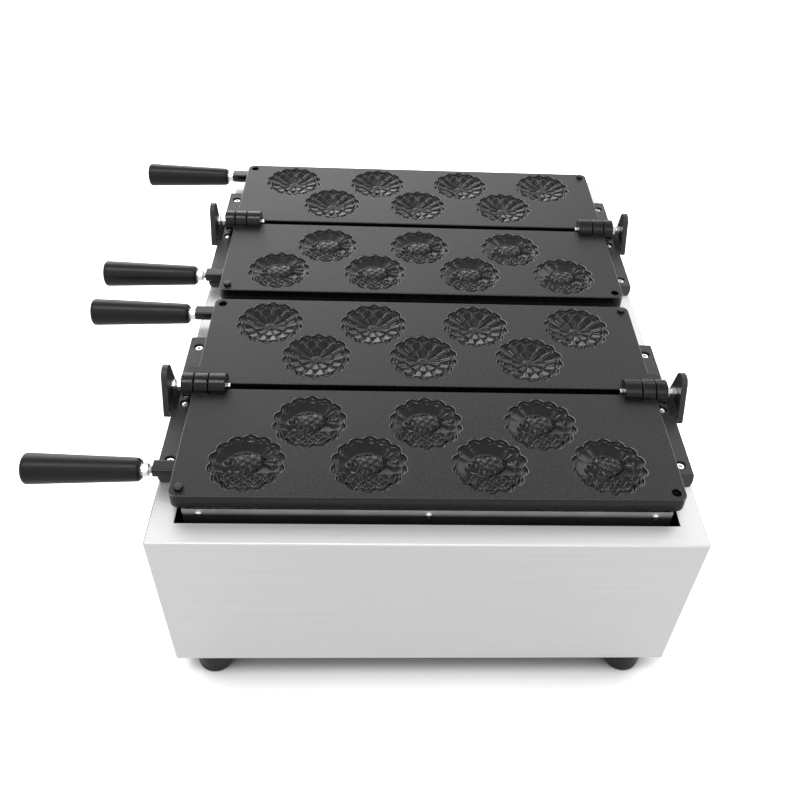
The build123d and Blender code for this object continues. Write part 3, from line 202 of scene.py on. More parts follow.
def griddle_casting():
    paint = Paint("griddle_casting", Specular_IOR_Level=0.26)
    cloud = paint.noise(7.0, 4.0, 0.55)
    grain = paint.noise(420.0, 3.0, 0.6)
    speck = paint.part_of(grain, 0.35, 0.65)
    height = paint.add("ShaderNodeSeparateXYZ", inputs={0: paint.place()}, output=2)
    sideways = paint.add("ShaderNodeSeparateXYZ", inputs={0: paint.facing()}, output=0).math("ABSOLUTE")

    def between(start, end):
        """Grows from 0 to 1 from one height over the plate's face to another."""
        return paint.part_of(height, face_height + start * MM, face_height + end * MM)

    sunk = between(*IN_POCKET)
    under = between(*UNDER_POCKET)
    oily_and_shaded = sunk * (1.0 - under)
    handled = between(*ON_KNUCKLE)
    below_rim = between(*BELOW_RIM)
    rim = between(*ON_RIM) * (1.0 - below_rim)
    # Painted highlight: the rounded rims turn pale and metallic, most where they face along the hinge.
    painted_edge_highlight = rim * paint.part_of(sideways, 0.15, 0.45, 0.12, 0.8)
    rough = paint.part_of(speck * 0.6 + cloud * 0.4, 0.3, 0.7, 0.36, 0.48)
    colour = paint.mix(cloud * 0.3 + speck * 0.7, grey(0.001), grey(0.021))
    # Darker colour in the pockets is painted shade in the hollows; the knuckles are given a darker tone too.
    colour = paint.mix(oily_and_shaded.math("MAXIMUM", handled), colour, grey(0.003))
    paint.feed_varying(
        # The pale, partly metallic rim colour is a painted highlight.
        Base_Color=paint.mix(painted_edge_highlight, colour, grey(0.3)),
        Metallic=painted_edge_highlight * 0.6,
        Roughness=rough - oily_and_shaded * 0.27 - rim * 0.14 - handled * 0.2,
    )
    upward = paint.add("ShaderNodeSeparateXYZ", inputs={0: paint.facing()}, output=2)
    smoothed = oily_and_shaded.math("MAXIMUM", handled).math("MAXIMUM", 1.0 - paint.part_of(upward, 0.6, 0.95))
    paint.bump(grain * (1.0 - smoothed * 0.9), GRAIN_RELIEF * MM)
    return paint.material


# %% [markdown]
# ## Brushed and plain sheet
# Brushed steel is scratched in one direction, so its texture is noise stretched into long streaks. On the
# walls the streaks run level, round all four sides; on the rim they run along the machine's length. Plain
# sheet is only patchy, and under the plates it is darkened towards the bottom as painted shade.

# %% Finishes of the sheet parts
STREAKS_ALONG = 3.0
STREAKS_ACROSS = 420.0
# Heights in metres between which the heat boxes' walls darken downwards, as painted shade.
SHADED_BELOW = (0.262, 0.2572)


def brushed_stainless():
    paint = Paint("brushed_stainless", Metallic=0.75)
    where = paint.add("ShaderNodeTexCoord", output="Object")
    x, y, z = (paint.add("ShaderNodeSeparateXYZ", inputs={0: where}, output=axis) for axis in range(3))
    up = paint.add("ShaderNodeSeparateXYZ", inputs={0: paint.facing()}, output=2).math("ABSOLUTE")
    flat = up.math("GREATER_THAN", 0.7)
    along = (x + y) * STREAKS_ALONG
    across = (z * (1.0 - flat) + y * flat) * STREAKS_ACROSS
    vector = paint.add("ShaderNodeCombineXYZ", inputs={0: along, 1: across, 2: flat})
    streaks = paint.noise(1.0, 3.0, 0.6, vector=vector)
    patches = paint.noise(5.0, 2.0, stretch=(1, 1, 3))
    paint.feed_varying(
        Base_Color=paint.mix(paint.part_of(streaks, 0.3, 0.7), grey(0.58), grey(0.63)),
        Roughness=paint.part_of(streaks * 0.6 + patches * 0.4, 0.3, 0.7, 0.3, 0.38) + flat * 0.14,
    )
    paint.bump(streaks, 0.01 * MM)
    return paint.material


def mill_steel(name, level, rough, metallic=1.0, shaded_from=None):
    """Plain rolled sheet with faint patches, darkened as painted shade from one height down to another."""
    paint = Paint(name, Metallic=metallic)
    patches = paint.noise(30.0, 4.0)
    colour = paint.mix(patches, grey(level * 0.85), grey(level))
    if shaded_from:
        height = paint.add("ShaderNodeSeparateXYZ", inputs={0: paint.place()}, output=2)
        # Painted shade: the sheet goes almost black below a height.
        colour = paint.mix(paint.part_of(height, *shaded_from), colour, grey(level * 0.08))
    paint.feed_varying(Base_Color=colour, Roughness=paint.part_of(patches, 0.3, 0.7, rough - 0.06, rough + 0.06))
    paint.bump(paint.noise(700.0), 0.02 * MM)
    return paint.material


# %% [markdown]
# ## Castings, plastics, rubber and the rest
# The remaining finishes differ in colour, gloss, and the size of their grain, so one function mixes most of
# them: a base colour with a slightly different second one, a range of roughness, and a grain.

# %% One mixer for the plainer finishes
def grained(name, first, second, rough, grain_size, grain_height, metallic=0.0, coat=0.0, mirror=0.5):
    """Two close colours in patches, and a grain whose size and height are in millimetres."""
    paint = Paint(name, Metallic=metallic, Coat_Weight=coat, Specular_IOR_Level=mirror)
    patches = paint.noise(60.0, 3.0)
    grain = paint.noise(1000.0 / grain_size, 2.0)
    paint.feed_varying(
        Base_Color=paint.mix(patches, (*first, 1.0), (*second, 1.0)),
        Roughness=paint.part_of(patches * 0.5 + grain * 0.5, 0.35, 0.65, rough[0], rough[1]),
    )
    paint.bump(grain, grain_height * MM)
    return paint.material


# %% Every finish, by the name of its slot
AMBER = (0.85, 0.32, 0.03, 1.0)
GRAINED = {
    "element_sheath": ((0.10, 0.09, 0.085), (0.17, 0.15, 0.14), (0.5, 0.65), 1.0, 0.03, {"metallic": 0.6}),
    "black_casting": ((0.012,) * 3, (0.026,) * 3, (0.38, 0.52), 1.6, 0.16, {"mirror": 0.38}),
    "black_bakelite": ((0.004,) * 3, (0.007,) * 3, (0.3, 0.38), 2.5, 0.02, {"mirror": 0.22}),
    "black_rubber": ((0.005,) * 3, (0.009,) * 3, (0.45, 0.6), 0.9, 0.06, {"mirror": 0.16}),
    "black_knob": ((0.014, 0.014, 0.015), (0.02, 0.02, 0.021), (0.3, 0.4), 1.5, 0.02, {}),
    "black_plastic": ((0.02, 0.02, 0.021), (0.03, 0.03, 0.031), (0.42, 0.55), 0.8, 0.05, {}),
    "cream_plastic": ((0.62, 0.57, 0.45), (0.7, 0.65, 0.53), (0.45, 0.55), 0.8, 0.03, {}),
    "red_rocker": ((0.5, 0.02, 0.012), (0.56, 0.03, 0.02), (0.2, 0.28), 2.0, 0.01, {"coat": 0.3}),
    "white_ceramic": ((0.8, 0.78, 0.72), (0.86, 0.84, 0.8), (0.5, 0.65), 0.6, 0.04, {}),
    "mineral_wool": ((0.6, 0.56, 0.44), (0.75, 0.72, 0.62), (0.85, 0.95), 1.6, 0.5, {}),
    "copper_capillary": ((0.5, 0.25, 0.14), (0.62, 0.36, 0.22), (0.3, 0.42), 1.0, 0.02, {"metallic": 1.0}),
    "wire_insulation": ((0.45, 0.05, 0.03), (0.52, 0.07, 0.05), (0.4, 0.5), 0.8, 0.02, {}),
}
finishes = {
    "griddle_casting": griddle_casting(),
    "brushed_stainless": brushed_stainless(),
    "plain_stainless": mill_steel("plain_stainless", 0.62, 0.42, 0.6, SHADED_BELOW),
    "zinc_steel": mill_steel("zinc_steel", 0.42, 0.36),
    "bright_screws": mill_steel("bright_screws", 0.75, 0.22),
    "bright_steel": mill_steel("bright_steel", 0.72, 0.24),
    "dark_pin": mill_steel("dark_pin", 0.05, 0.42),
}
for name, (*looks, more) in GRAINED.items():
    finishes[name] = grained(name, *looks, **more)
finishes["amber_lens"] = Paint("amber_lens", Base_Color=AMBER, Roughness=0.12, Coat_Weight=0.4).material
for node, solid in solids.items():
    for material_slot in solid.material_slots:
        material_slot.material = finishes[slot_with[node]]
print(len(finishes), "finishes")

# %% [markdown]
# ## A white room
# Product shots of steel are taken in a white tent with soft boxes round it. Here the world is all of them:
# it is a little darker overhead than near the horizon, and each soft box is a bright patch in some
# direction. The large one low at the back on the left gives dark castings a sheen that grows towards the
# back. One higher on the right and a small one overhead give the glints, and one behind the camera draws the
# bright line on the folded edges. The camera and the mirrors see the rest of the world as pure white.

# %% Light the room
ZENITH_LIGHT = 0.62
HORIZON_LIGHT = 0.95
SOFT_BOXES = (
    ((-0.26, 0.9, 0.34), (0.82, 0.98), 2.9),
    ((0.47, 0.62, 0.63), (0.965, 0.99), 2.4),
    ((-0.2, -0.2, 0.96), (0.982, 0.99), 9.0),
    ((0.15, -0.70, 0.70), (0.94, 0.985), 1.8),
)

world = bpy.data.worlds.new("white_tent")
bpy.context.scene.world = world
world.use_nodes = True


class Room(Paint):
    """The world's or the floor's network, mixed with the same tools as a finish."""

    def __init__(self, tree):
        self.tree = tree

    def ray(self, kind):
        return self.add("ShaderNodeLightPath", output=kind)


room = Room(world.node_tree)
way = room.add("ShaderNodeTexCoord", output="Generated")
height = room.add("ShaderNodeSeparateXYZ", inputs={0: way}, output=2)
tent = room.part_of(height, 0.0, 1.0, HORIZON_LIGHT, ZENITH_LIGHT)
boxes = 0.0
for aim, edges, power in SOFT_BOXES:
    towards = room.add("ShaderNodeVectorMath", {"operation": "DOT_PRODUCT"}, {0: way, 1: aim}, "Value")
    patch = room.part_of(towards, *edges)
    boxes = patch * patch * (3.0 - 2.0 * patch) * power + boxes
camera_ray = room.ray("Is Camera Ray")
mirrored = room.ray("Is Glossy Ray").math("MAXIMUM", room.ray("Is Transmission Ray"))
white = camera_ray.math("MAXIMUM", mirrored)
background = world.node_tree.nodes["Background"]
background.inputs["Color"].default_value = grey(1.0)
room.feed(background.inputs["Strength"], white + tent * (1.0 - white) + boxes * (1.0 - camera_ray))
print("white tent with", len(SOFT_BOXES), "soft boxes")

# %% [markdown]
# The floor is white paper that is lit until it is just past white, as product pictures have it, so that
# only the deep shadow under the housing is left. For the camera that shadow is painted: ambient occlusion
# near the machine darkens the floor's colour. For all other rays it is plain white paper.

# %% Lay the floor
FLOOR_SIZE = 40.0
FLOOR_PAPER = 0.5
FLOOR_PICTURED = 1.6
FLOOR_MIRRORED = 0.5
SHADOW_REACH = 0.13

bpy.ops.mesh.primitive_plane_add(size=FLOOR_SIZE)
floor = bpy.context.object
floor.name = "floor"
paper = bpy.data.materials.new("white_paper")
paper.use_nodes = True
paper.node_tree.nodes.clear()
room = Room(paper.node_tree)
# Painted shadow: for the camera, the floor's colour darkens where ambient occlusion finds the machine near.
open_sky = room.add("ShaderNodeAmbientOcclusion", inputs={"Distance": SHADOW_REACH}, output="AO")
pictured_with_painted_shadow = room.part_of(open_sky, 0.2, 0.85, 0.1, 1.0) * FLOOR_PICTURED
level = room.part_of(room.ray("Is Camera Ray"), 0.0, 1.0, FLOOR_PAPER, pictured_with_painted_shadow)
matt = room.add("ShaderNodeBsdfDiffuse", inputs={"Color": level})
glow = room.add("ShaderNodeEmission", inputs={"Strength": room.ray("Is Glossy Ray") * FLOOR_MIRRORED})
both = room.add("ShaderNodeAddShader", inputs={0: matt, 1: glow})
room.add("ShaderNodeOutputMaterial", inputs={"Surface": both})
floor.data.materials.append(paper)

# %% [markdown]
# ## Tools for the finer pieces
# A piece starts from a primitive or from a copy of its solid, is shaped in edit mode, and then gets its
# name, finish and body. Operators act on all that is selected, so each tool first selects its own piece.

# %% Choose and edit one piece
def select_only(piece):
    bpy.ops.object.select_all(action="DESELECT")
    piece.select_set(True)
    bpy.context.view_layer.objects.active = piece


def begin_edit(piece, mode="VERT"):
    select_only(piece)
    bpy.ops.object.mode_set(mode="EDIT")
    bpy.ops.mesh.select_mode(type=mode)
    bpy.ops.mesh.select_all(action="SELECT")


def end_edit(face_outwards=False):
    if face_outwards:
        bpy.ops.mesh.select_all(action="SELECT")
        bpy.ops.mesh.normals_make_consistent(inside=False)
    bpy.ops.object.mode_set(mode="OBJECT")


def select_where(piece, rule, what="faces"):
    """In edit mode, selects the faces, edges or verts for which the rule holds."""
    bpy.ops.mesh.select_all(action="DESELECT")
    shape = bmesh.from_edit_mesh(piece.data)
    for element in getattr(shape, what):
        if rule(element):
            element.select_set(True)
    bmesh.update_edit_mesh(piece.data)


# %% Copy, join, cut and settle pieces
def copy_of_solid(node):
    """A free copy of a solid's mesh, its loose triangles merged into one skin."""
    piece = bpy.data.objects.new(node + "_copy", solids[node].data.copy())
    bpy.context.scene.collection.objects.link(piece)
    begin_edit(piece)
    bpy.ops.mesh.remove_doubles(threshold=0.001 * MM)
    end_edit()
    return piece


def joined(pieces):
    """Several objects made one."""
    bpy.ops.object.select_all(action="DESELECT")
    for piece in pieces:
        piece.select_set(True)
    bpy.context.view_layer.objects.active = pieces[0]
    bpy.ops.object.join()
    bpy.ops.object.transform_apply(location=True, rotation=True, scale=True)
    return bpy.context.object


def twin(piece, shift=(0, 0, 0)):
    """A copy with its own mesh, moved."""
    other = piece.copy()
    other.data = piece.data.copy()
    other.data.transform(Matrix.Translation(shift))
    bpy.context.scene.collection.objects.link(other)
    return other


def carve(piece, tool, operation="DIFFERENCE"):
    """Cuts one closed piece with another, and throws the tool away."""
    cut = piece.modifiers.new("carve", "BOOLEAN")
    cut.operation, cut.solver, cut.object = operation, "EXACT", tool
    select_only(piece)
    bpy.ops.object.modifier_apply(modifier=cut.name)
    bpy.data.objects.remove(tool)
    return piece


def smooth(piece, degrees=32.0):
    """Smooth shading that keeps sharp edges sharp and large flat faces flat."""
    select_only(piece)
    bpy.ops.object.shade_smooth_by_angle(angle=radians(degrees))
    weighted = piece.modifiers.new("weighted", "WEIGHTED_NORMAL")
    weighted.keep_sharp = True
    bpy.ops.object.modifier_apply(modifier=weighted.name)
    return piece


def settled(piece, name, body, finish, *replaced):
    """Names a finished piece, gives it its finish and body, and hides the solids it stands for."""
    select_only(piece)
    bpy.ops.object.transform_apply(location=True, rotation=True, scale=True)
    piece.name = piece.data.name = name
    piece.data.materials.clear()
    piece.data.materials.append(finishes[finish])
    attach(piece, body)
    if replaced:
        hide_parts(*replaced)
    return piece


def settled_as(piece, name, node):
    """A piece that stands for one solid, and takes its finish and body."""
    return settled(piece, name, body_with[node], slot_with[node], node)


# %% Round off the sharp edges
def soften_edges(piece, width, degrees=40.0, segments=2):
    """Rounds every edge sharper than an angle, as casting, tumbling or deburring does."""
    begin_edit(piece, "EDGE")
    bpy.ops.mesh.dissolve_limited(angle_limit=radians(0.4))
    limit = radians(degrees)
    select_where(piece, lambda edge: edge.is_manifold and edge.calc_face_angle(0.0) > limit, "edges")
    bpy.ops.mesh.bevel(offset=width, segments=segments, clamp_overlap=False)
    end_edit()
    return piece


# %% [markdown]
# ### Turned pieces
# Grips, feet, screws, nuts and knobs are all turned on a lathe. A disc is drawn up ring by ring: each
# extrusion moves the disc along the axis, and a resize about the axis gives the next radius.

# %% Turn a piece and aim it
THREAD_PITCH = 1.25
THREAD_DEPTH = 0.5
NUT_END_SHARE = 0.47


def turned(profile, sides=48):
    """A closed round piece along Z, from the radius and height of each ring in millimetres."""
    (radius, height), *rings = profile
    bpy.ops.mesh.primitive_circle_add(vertices=sides, radius=radius * MM, fill_type="NGON")
    piece = bpy.context.object
    piece.location.z = height * MM
    bpy.ops.object.transform_apply(location=True)
    begin_edit(piece, "FACE")
    for next_radius, next_height in rings:
        lift = (0, 0, (next_height - height) * MM)
        share = next_radius / radius
        bpy.ops.mesh.extrude_region_move(TRANSFORM_OT_translate={"value": lift})
        bpy.ops.transform.resize(value=(share, share, 1), center_override=(0, 0, 0))
        radius, height = next_radius, next_height
    end_edit(face_outwards=True)
    return piece


def prism(corners, radius, low, high):
    """A prism along Z with its corners on a circle, in millimetres."""
    return turned([(radius, low), (radius, high)], corners)


def aimed(piece, place, way=(0, 0, 1)):
    """Stands a piece that was made along Z at a place, pointing some way."""
    turn = Vector(way).to_track_quat("Z", "Y").to_matrix().to_4x4()
    piece.data.transform(Matrix.Translation(place) @ turn)
    piece.data.update()
    return piece


def repeated(piece, places):
    """A copy of a piece at each place and way, all joined into one."""
    copies = [aimed(twin(piece), place, way) for place, way in places]
    bpy.data.objects.remove(piece)
    return joined(copies)


def threads(radius, low, high):
    """Rings of a screw thread between two heights."""
    pitch = THREAD_PITCH
    count = int((high - low) / pitch)
    rings = []
    for turn in range(count):
        start = low + turn * pitch
        crest = [(radius, start + 0.45 * pitch), (radius, start + 0.6 * pitch)]
        rings += [(radius - THREAD_DEPTH, start), *crest]
    return rings


def hexagon_nut(flats, thickness):
    """A solid nut whose corners are turned off at both ends."""
    corner = flats / 3**0.5
    end = NUT_END_SHARE * flats
    slope = (corner - end) * 0.5
    barrel = [(end, 0), (1.01 * corner, slope), (1.01 * corner, thickness - slope), (end, thickness)]
    blank = prism(6, corner, -1, thickness + 1)
    return carve(blank, turned(barrel, 48), "INTERSECT")


# %% [markdown]
# ## The pockets
# A pocket is a bowl with a scalloped wall and a moulded picture in its floor. The floor is the finest surface
# of the machine, so it isn't modelled by hand: a net of rings is extruded inwards from a circle, and a
# formula then gives every vertex its place. The first rings run over the rounded rim and down the wall; the
# rest share the floor.

# %% Net and outline of a pocket, in millimetres
POCKET_ROUND = 38.0
SCALLOPS = 14
SCALLOP_RADIUS = 8.6
SCALLOP_REACH = 3.6
RIM_ROUND = 0.9
NET_SIDES = 168
FLOOR_RINGS = 54
WALL = [
    (RIM_ROUND, 0.0),
    (0.5, -0.09),
    (0.12, -0.34),
    (-0.14, -0.7),
    (-0.32, -1.15),
    (-0.75, -2.4),
    (-1.2, -3.1),
    (-2.1, -3.7),
    (-3.4, -4.1),
]
CENTRE_DEPTH = 8.4


def outline(angle):
    """Radius of the scalloped outline at an angle."""
    step = 2 * pi / SCALLOPS
    off = angle % step - step / 2
    ring = POCKET_ROUND + SCALLOP_REACH - SCALLOP_RADIUS
    bulge = ring * np.cos(off) + np.sqrt(np.maximum(SCALLOP_RADIUS**2 - (ring * np.sin(off)) ** 2, 0))
    return np.maximum(POCKET_ROUND, bulge)


# %% [markdown]
# ### The moulded pictures
# Cakes from such moulds show a fish in the waves on one side and a chrysanthemum on the other. Both are sums
# of simple hills: a ridge is a hill across a distance, a dome is a half ball, and a repeat is a remainder.

# %% Heights of simple shapes
def ridge(distance, width, height):
    return height * np.exp(-((distance / width) ** 2))


def dome(x, y, radius_x, radius_y, height):
    inside = 1 - (x / radius_x) ** 2 - (y / radius_y) ** 2
    return height * np.sqrt(np.maximum(inside, 0))


def chrysanthemum(x, y):
    """Two wreaths of petals round a beaded middle."""
    radius, angle = np.hypot(x, y), np.arctan2(y, x)
    height = dome(x, y, 7.5, 7.5, 2.0) + 0.4 * np.cos(5 * angle) * np.cos(radius * 1.6) * (radius < 6.5)
    for count, turn, inner, outer, rise in ((10, 0.0, 8.0, 21.5, 2.4), (14, 0.5, 20.0, 34.5, 2.8)):
        across = np.abs((angle * count / (2 * pi) + turn) % 1 - 0.5) * 2
        along = np.clip((radius - inner) / (outer - inner), 0, 1)
        tip = np.sqrt(np.clip(1 - np.clip((along - 0.72) / 0.28, 0, 1) ** 2, 0, 1))
        petal = np.sqrt(np.clip(1 - (across / np.maximum(0.92 * tip, 0.02)) ** 2, 0, 1))
        band = (radius > inner) & (radius < outer)
        height = height + band * (rise * petal * (0.45 + 0.55 * along) - ridge(across, 0.12, 0.5))
    return height + ridge(radius - 35.6, 0.9, 0.8)


def fish_in_waves(x, y):
    """A plump fish with scales, fins and a forked tail over rows of round waves."""
    turn = radians(14)
    u = x * np.cos(turn) + (y - 4) * np.sin(turn)
    v = -x * np.sin(turn) + (y - 4) * np.cos(turn)
    radius = np.hypot(x, y)
    body = dome(u + 4, v, 23.0, 14.0, 5.2)
    on_body = body > 0.02
    row = np.floor(u / 6.0)
    scale_u = u - row * 6.0
    scale_v = (v + (row % 2) * 3.6) % 7.2 - 3.6
    scales = ridge(np.hypot(scale_u, scale_v) - 4.0, 0.9, 0.8) * (u > -10) * (body > 1.4)
    gill = ridge(np.hypot(u + 24, v) - 13.0, 1.1, 1.3) * (np.abs(v) < 9.5) * (u > -22)
    eye = dome(u + 19.5, v - 3.6, 3.4, 3.4, 2.2) - ridge(np.hypot(u + 19.5, v - 3.6) - 4.2, 0.8, 1.0)
    spread = np.arctan2(np.abs(v), u - 12.0)
    reach = np.hypot(u - 12.0, v)
    tail = (spread > 0.1) & (spread < 0.9) & (reach > 4) & (reach < 21)
    tail_height = tail * (2.4 + 0.6 * np.cos(spread * 17)) * np.clip((21 - reach) / 3, 0, 1)
    back_fin = np.clip(18 - ((u + 3) / 6) ** 2 - v, 0, 2) * (v > 7) * ~on_body
    belly_fin = np.clip(v + 15 - ((u + 1) / 4) ** 2, 0, 1.5) * (v < -7) * ~on_body
    fins = (back_fin + belly_fin) * (0.85 + 0.3 * np.cos((u - 0.35 * v) * 1.2))
    fish = body + scales + gill + eye + tail_height + fins
    pitch, drop = 22.0, 10.5
    level = np.floor((-10 - y) / drop)
    wave_x = (x + (level % 2) * pitch / 2) % pitch - pitch / 2
    rings = np.hypot(wave_x, drop - (-10 - y - level * drop))
    waves = (y < -10) * (radius < 35) * (1.4 + 1.1 * np.cos(rings * 2 * pi / 5.8))
    return fish + waves * (fish < 0.05) + ridge(radius - 35.6, 0.9, 0.8)


# %% Shape one pocket from its net
def pocket(picture):
    """The skin of a pocket about its own centre, its rim level with z = 0."""
    rings = len(WALL) - 1 + FLOOR_RINGS
    bpy.ops.mesh.primitive_circle_add(vertices=NET_SIDES, radius=rings, fill_type="NOTHING")
    piece = bpy.context.object
    begin_edit(piece)
    for ring in range(rings - 1, 0, -1):
        bpy.ops.mesh.extrude_region_move()
        bpy.ops.transform.resize(value=(ring / (ring + 1),) * 3)
    bpy.ops.mesh.extrude_region_move()
    bpy.ops.mesh.merge(type="CENTER")
    end_edit()

    net = np.empty(len(piece.data.vertices) * 3)
    piece.data.vertices.foreach_get("co", net)
    net = net.reshape(-1, 3)
    angle = np.arctan2(net[:, 1], net[:, 0])
    ring = rings - np.rint(np.hypot(net[:, 0], net[:, 1])).astype(int)
    wall = np.array(WALL)[np.minimum(ring, len(WALL) - 1)]
    inward = np.clip(1 - (ring - (len(WALL) - 1)) / FLOOR_RINGS, 0, 1)
    scalloped = inward**3
    edge = scalloped * outline(angle) + (1 - scalloped) * (POCKET_ROUND + SCALLOP_REACH / 2)
    radius = (edge + wall[:, 0]) * inward
    x, y = radius * np.cos(angle), radius * np.sin(angle)
    bowl = wall[:, 1] - (CENTRE_DEPTH + WALL[-1][1]) * np.sin((1 - inward) * pi / 2)
    fade = np.clip((1 - inward) / 0.05, 0, 1)
    height = bowl + picture(x, y) * fade
    piece.data.vertices.foreach_set("co", (np.column_stack((x, y, height)) * MM).ravel())
    piece.data.update()
    return piece


# %% [markdown]
# ## The plates
# The solid has the plate's outer shape, with plain pockets. A copy of it has each pocket cut away a little
# wider, by a prism with as many sides as the net, so that the shaped pocket fits the hole vertex by vertex
# and the two merge into one skin. The edges of the knuckles, the boss and the holes are rounded as they
# would be after casting.

# %% Make one plate and its twin in the other row
CUT_DEPTH = 12.0 * MM
KNUCKLE_RADIUS = 15.0
KNUCKLE_ROUND = 1.2


def hinge_line(row):
    low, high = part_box("hinge_pins_" + row)
    return (low + high) / 2


def pocket_centres(plate):
    name = "pocket_" + plate
    boxes = [o["box_m"] for o in record["physics"]["openings"] if o["name"].startswith(name)]
    return [((low[0] + high[0]) / 2, (low[1] + high[1]) / 2) for low, high in boxes]


def pocket_cutter(centres):
    """Prisms with the outline of the rounded rims."""
    prisms = []
    for x, y in centres:
        bpy.ops.mesh.primitive_circle_add(vertices=NET_SIDES, radius=1.0, fill_type="NGON")
        prism = bpy.context.object
        for vertex in prism.data.vertices:
            angle = np.arctan2(vertex.co.y, vertex.co.x)
            radius = (outline(angle) + RIM_ROUND) * MM
            vertex.co = (radius * np.cos(angle), radius * np.sin(angle), -CUT_DEPTH)
        begin_edit(prism)
        bpy.ops.mesh.extrude_region_move(TRANSFORM_OT_translate={"value": (0, 0, 2 * CUT_DEPTH)})
        end_edit(face_outwards=True)
        prism.location = (x, y, face_height)
        prisms.append(prism)
    return joined(prisms)


def round_knuckles(piece):
    """Takes the edges off the round ends of the knuckles, which stand over the face."""
    line = hinge_line("front_row")

    def on_knuckle(edge):
        ends = [vertex.co for vertex in edge.verts]
        off = [Vector((end.y - line.y, end.z - line.z)).length - KNUCKLE_RADIUS * MM for end in ends]
        round_end = abs(ends[0].x - ends[1].x) < 0.01 * MM and max(abs(gap) for gap in off) < 0.05 * MM
        return round_end and min(end.z for end in ends) > face_height - 9 * MM and not edge.is_boundary

    begin_edit(piece, "EDGE")
    bpy.ops.mesh.dissolve_limited(angle_limit=radians(0.4))
    select_where(piece, on_knuckle, "edges")
    bpy.ops.mesh.bevel(offset=KNUCKLE_ROUND * MM, segments=3, clamp_overlap=False)
    end_edit()


def cast_plate(plate, picture):
    piece = copy_of_solid(plate)
    centres = pocket_centres(plate)
    cutter = pocket_cutter(centres)
    carve(piece, cutter)
    widest = (POCKET_ROUND + SCALLOP_REACH + 2 * RIM_ROUND) * MM
    middles = [Vector((x, y)) for x, y in centres]

    def in_pocket(face):
        middle = face.calc_center_median()
        if not face_height - CUT_DEPTH - 0.1 * MM < middle.z < face_height - 0.05 * MM:
            return False
        return any((middle.xy - centre).length < widest for centre in middles)

    begin_edit(piece, "FACE")
    select_where(piece, in_pocket)
    bpy.ops.mesh.delete(type="FACE")
    end_edit()
    round_knuckles(piece)
    soften_edges(piece, 0.5 * MM)
    shaped = pocket(picture)
    skins = [twin(shaped, (x, y, face_height)) for x, y in centres]
    bpy.data.objects.remove(shaped)
    piece = joined([piece, *skins])
    begin_edit(piece)
    bpy.ops.mesh.remove_doubles(threshold=0.01 * MM)
    end_edit(face_outwards=True)
    return smooth(piece, 36.0)


# %% Cast the four plates
row_step = hinge_line("back_row") - hinge_line("front_row")
row_step.x = row_step.z = 0
for side, picture in (("front_plate", fish_in_waves), ("back_plate", chrysanthemum)):
    first = cast_plate("front_row_" + side, picture)
    second = twin(first, row_step)
    for row, piece in zip(ROWS, (first, second)):
        settled_as(piece, "cast_" + row + "_" + side, row + "_" + side)
    print(side, len(first.data.polygons), "faces")

# %% [markdown]
# ## Locating pins
# Each plate has one steel pin in a free corner and a hole in the other, so that the closed pair lines up.
# The pin's head is domed so that it finds its hole.

# %% Turn the locating pins
PIN_HEAD = [(4.7, 0), (4.7, 11.0), (4.45, 11.5), (3.9, 11.85), (2.6, 12.0), (0.8, 12.0)]

for plate in (row + "_" + side for row in ROWS for side in SIDES):
    low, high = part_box("locating_pin_" + plate)
    pin = aimed(turned(PIN_HEAD, 32), ((low.x + high.x) / 2, (low.y + high.y) / 2, low.z))
    settled_as(smooth(pin), "dome_pin_" + plate, "locating_pin_" + plate)

# %% [markdown]
# ## Grips
# The four grips are moulded from black phenolic resin, thicker towards the hand, with a short cone at the
# root and a well rounded end. Each is screwed on a bright stud, which shows between the grip and the plate's
# boss with its locking nut and a washer.

# %% Turn the grips
GRIP_LENGTH = 122.0
GRIP_ROOT = 12.75
GRIP_END = 17.0
ROOT_CONE = [(5.0, 0.6), (8.4, 0.6), (8.9, 0.0), (10.2, 0.0), (10.6, 0.3), (12.3, 2.6), (12.75, 3.3)]
END_ROUND = [(16.8, 116.2), (16.9, 117.6), (16.7, 118.8), (16.0, 120.1), (14.9, 121.0), (13.2, 121.6)]
GRIP_FACE = [(10.5, 121.9), (6.0, 122.0), (3.4, 122.0), (3.0, 121.5), (1.0, 121.5)]

body_rings = [(GRIP_ROOT + (GRIP_END - GRIP_ROOT) * z / GRIP_LENGTH, z) for z in range(10, 115, 15)]
grip = turned([*ROOT_CONE, *body_rings, *END_ROUND, *GRIP_FACE], 72)
smooth(grip, 30.0)
for plate in (row + "_" + side for row in ROWS for side in SIDES):
    low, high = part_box("handle_" + plate)
    place = (high.x, (low.y + high.y) / 2, (low.z + high.z) / 2)
    settled_as(aimed(twin(grip), place, (-1, 0, 0)), "grip_" + plate, "handle_" + plate)
bpy.data.objects.remove(grip)

# %% Turn the studs with their nuts and washers
STUD_RADIUS = 4.0
STUD_NUT = (13.0, 6.3)
STUD_WASHER = [(4.2, 0), (7.2, 0), (7.5, 0.3), (7.5, 1.2), (7.2, 1.5), (4.2, 1.5)]
STUD_WASHER_HEIGHT = 1.5
STUD_TIP = 3.4
THREAD_FROM = 20.0

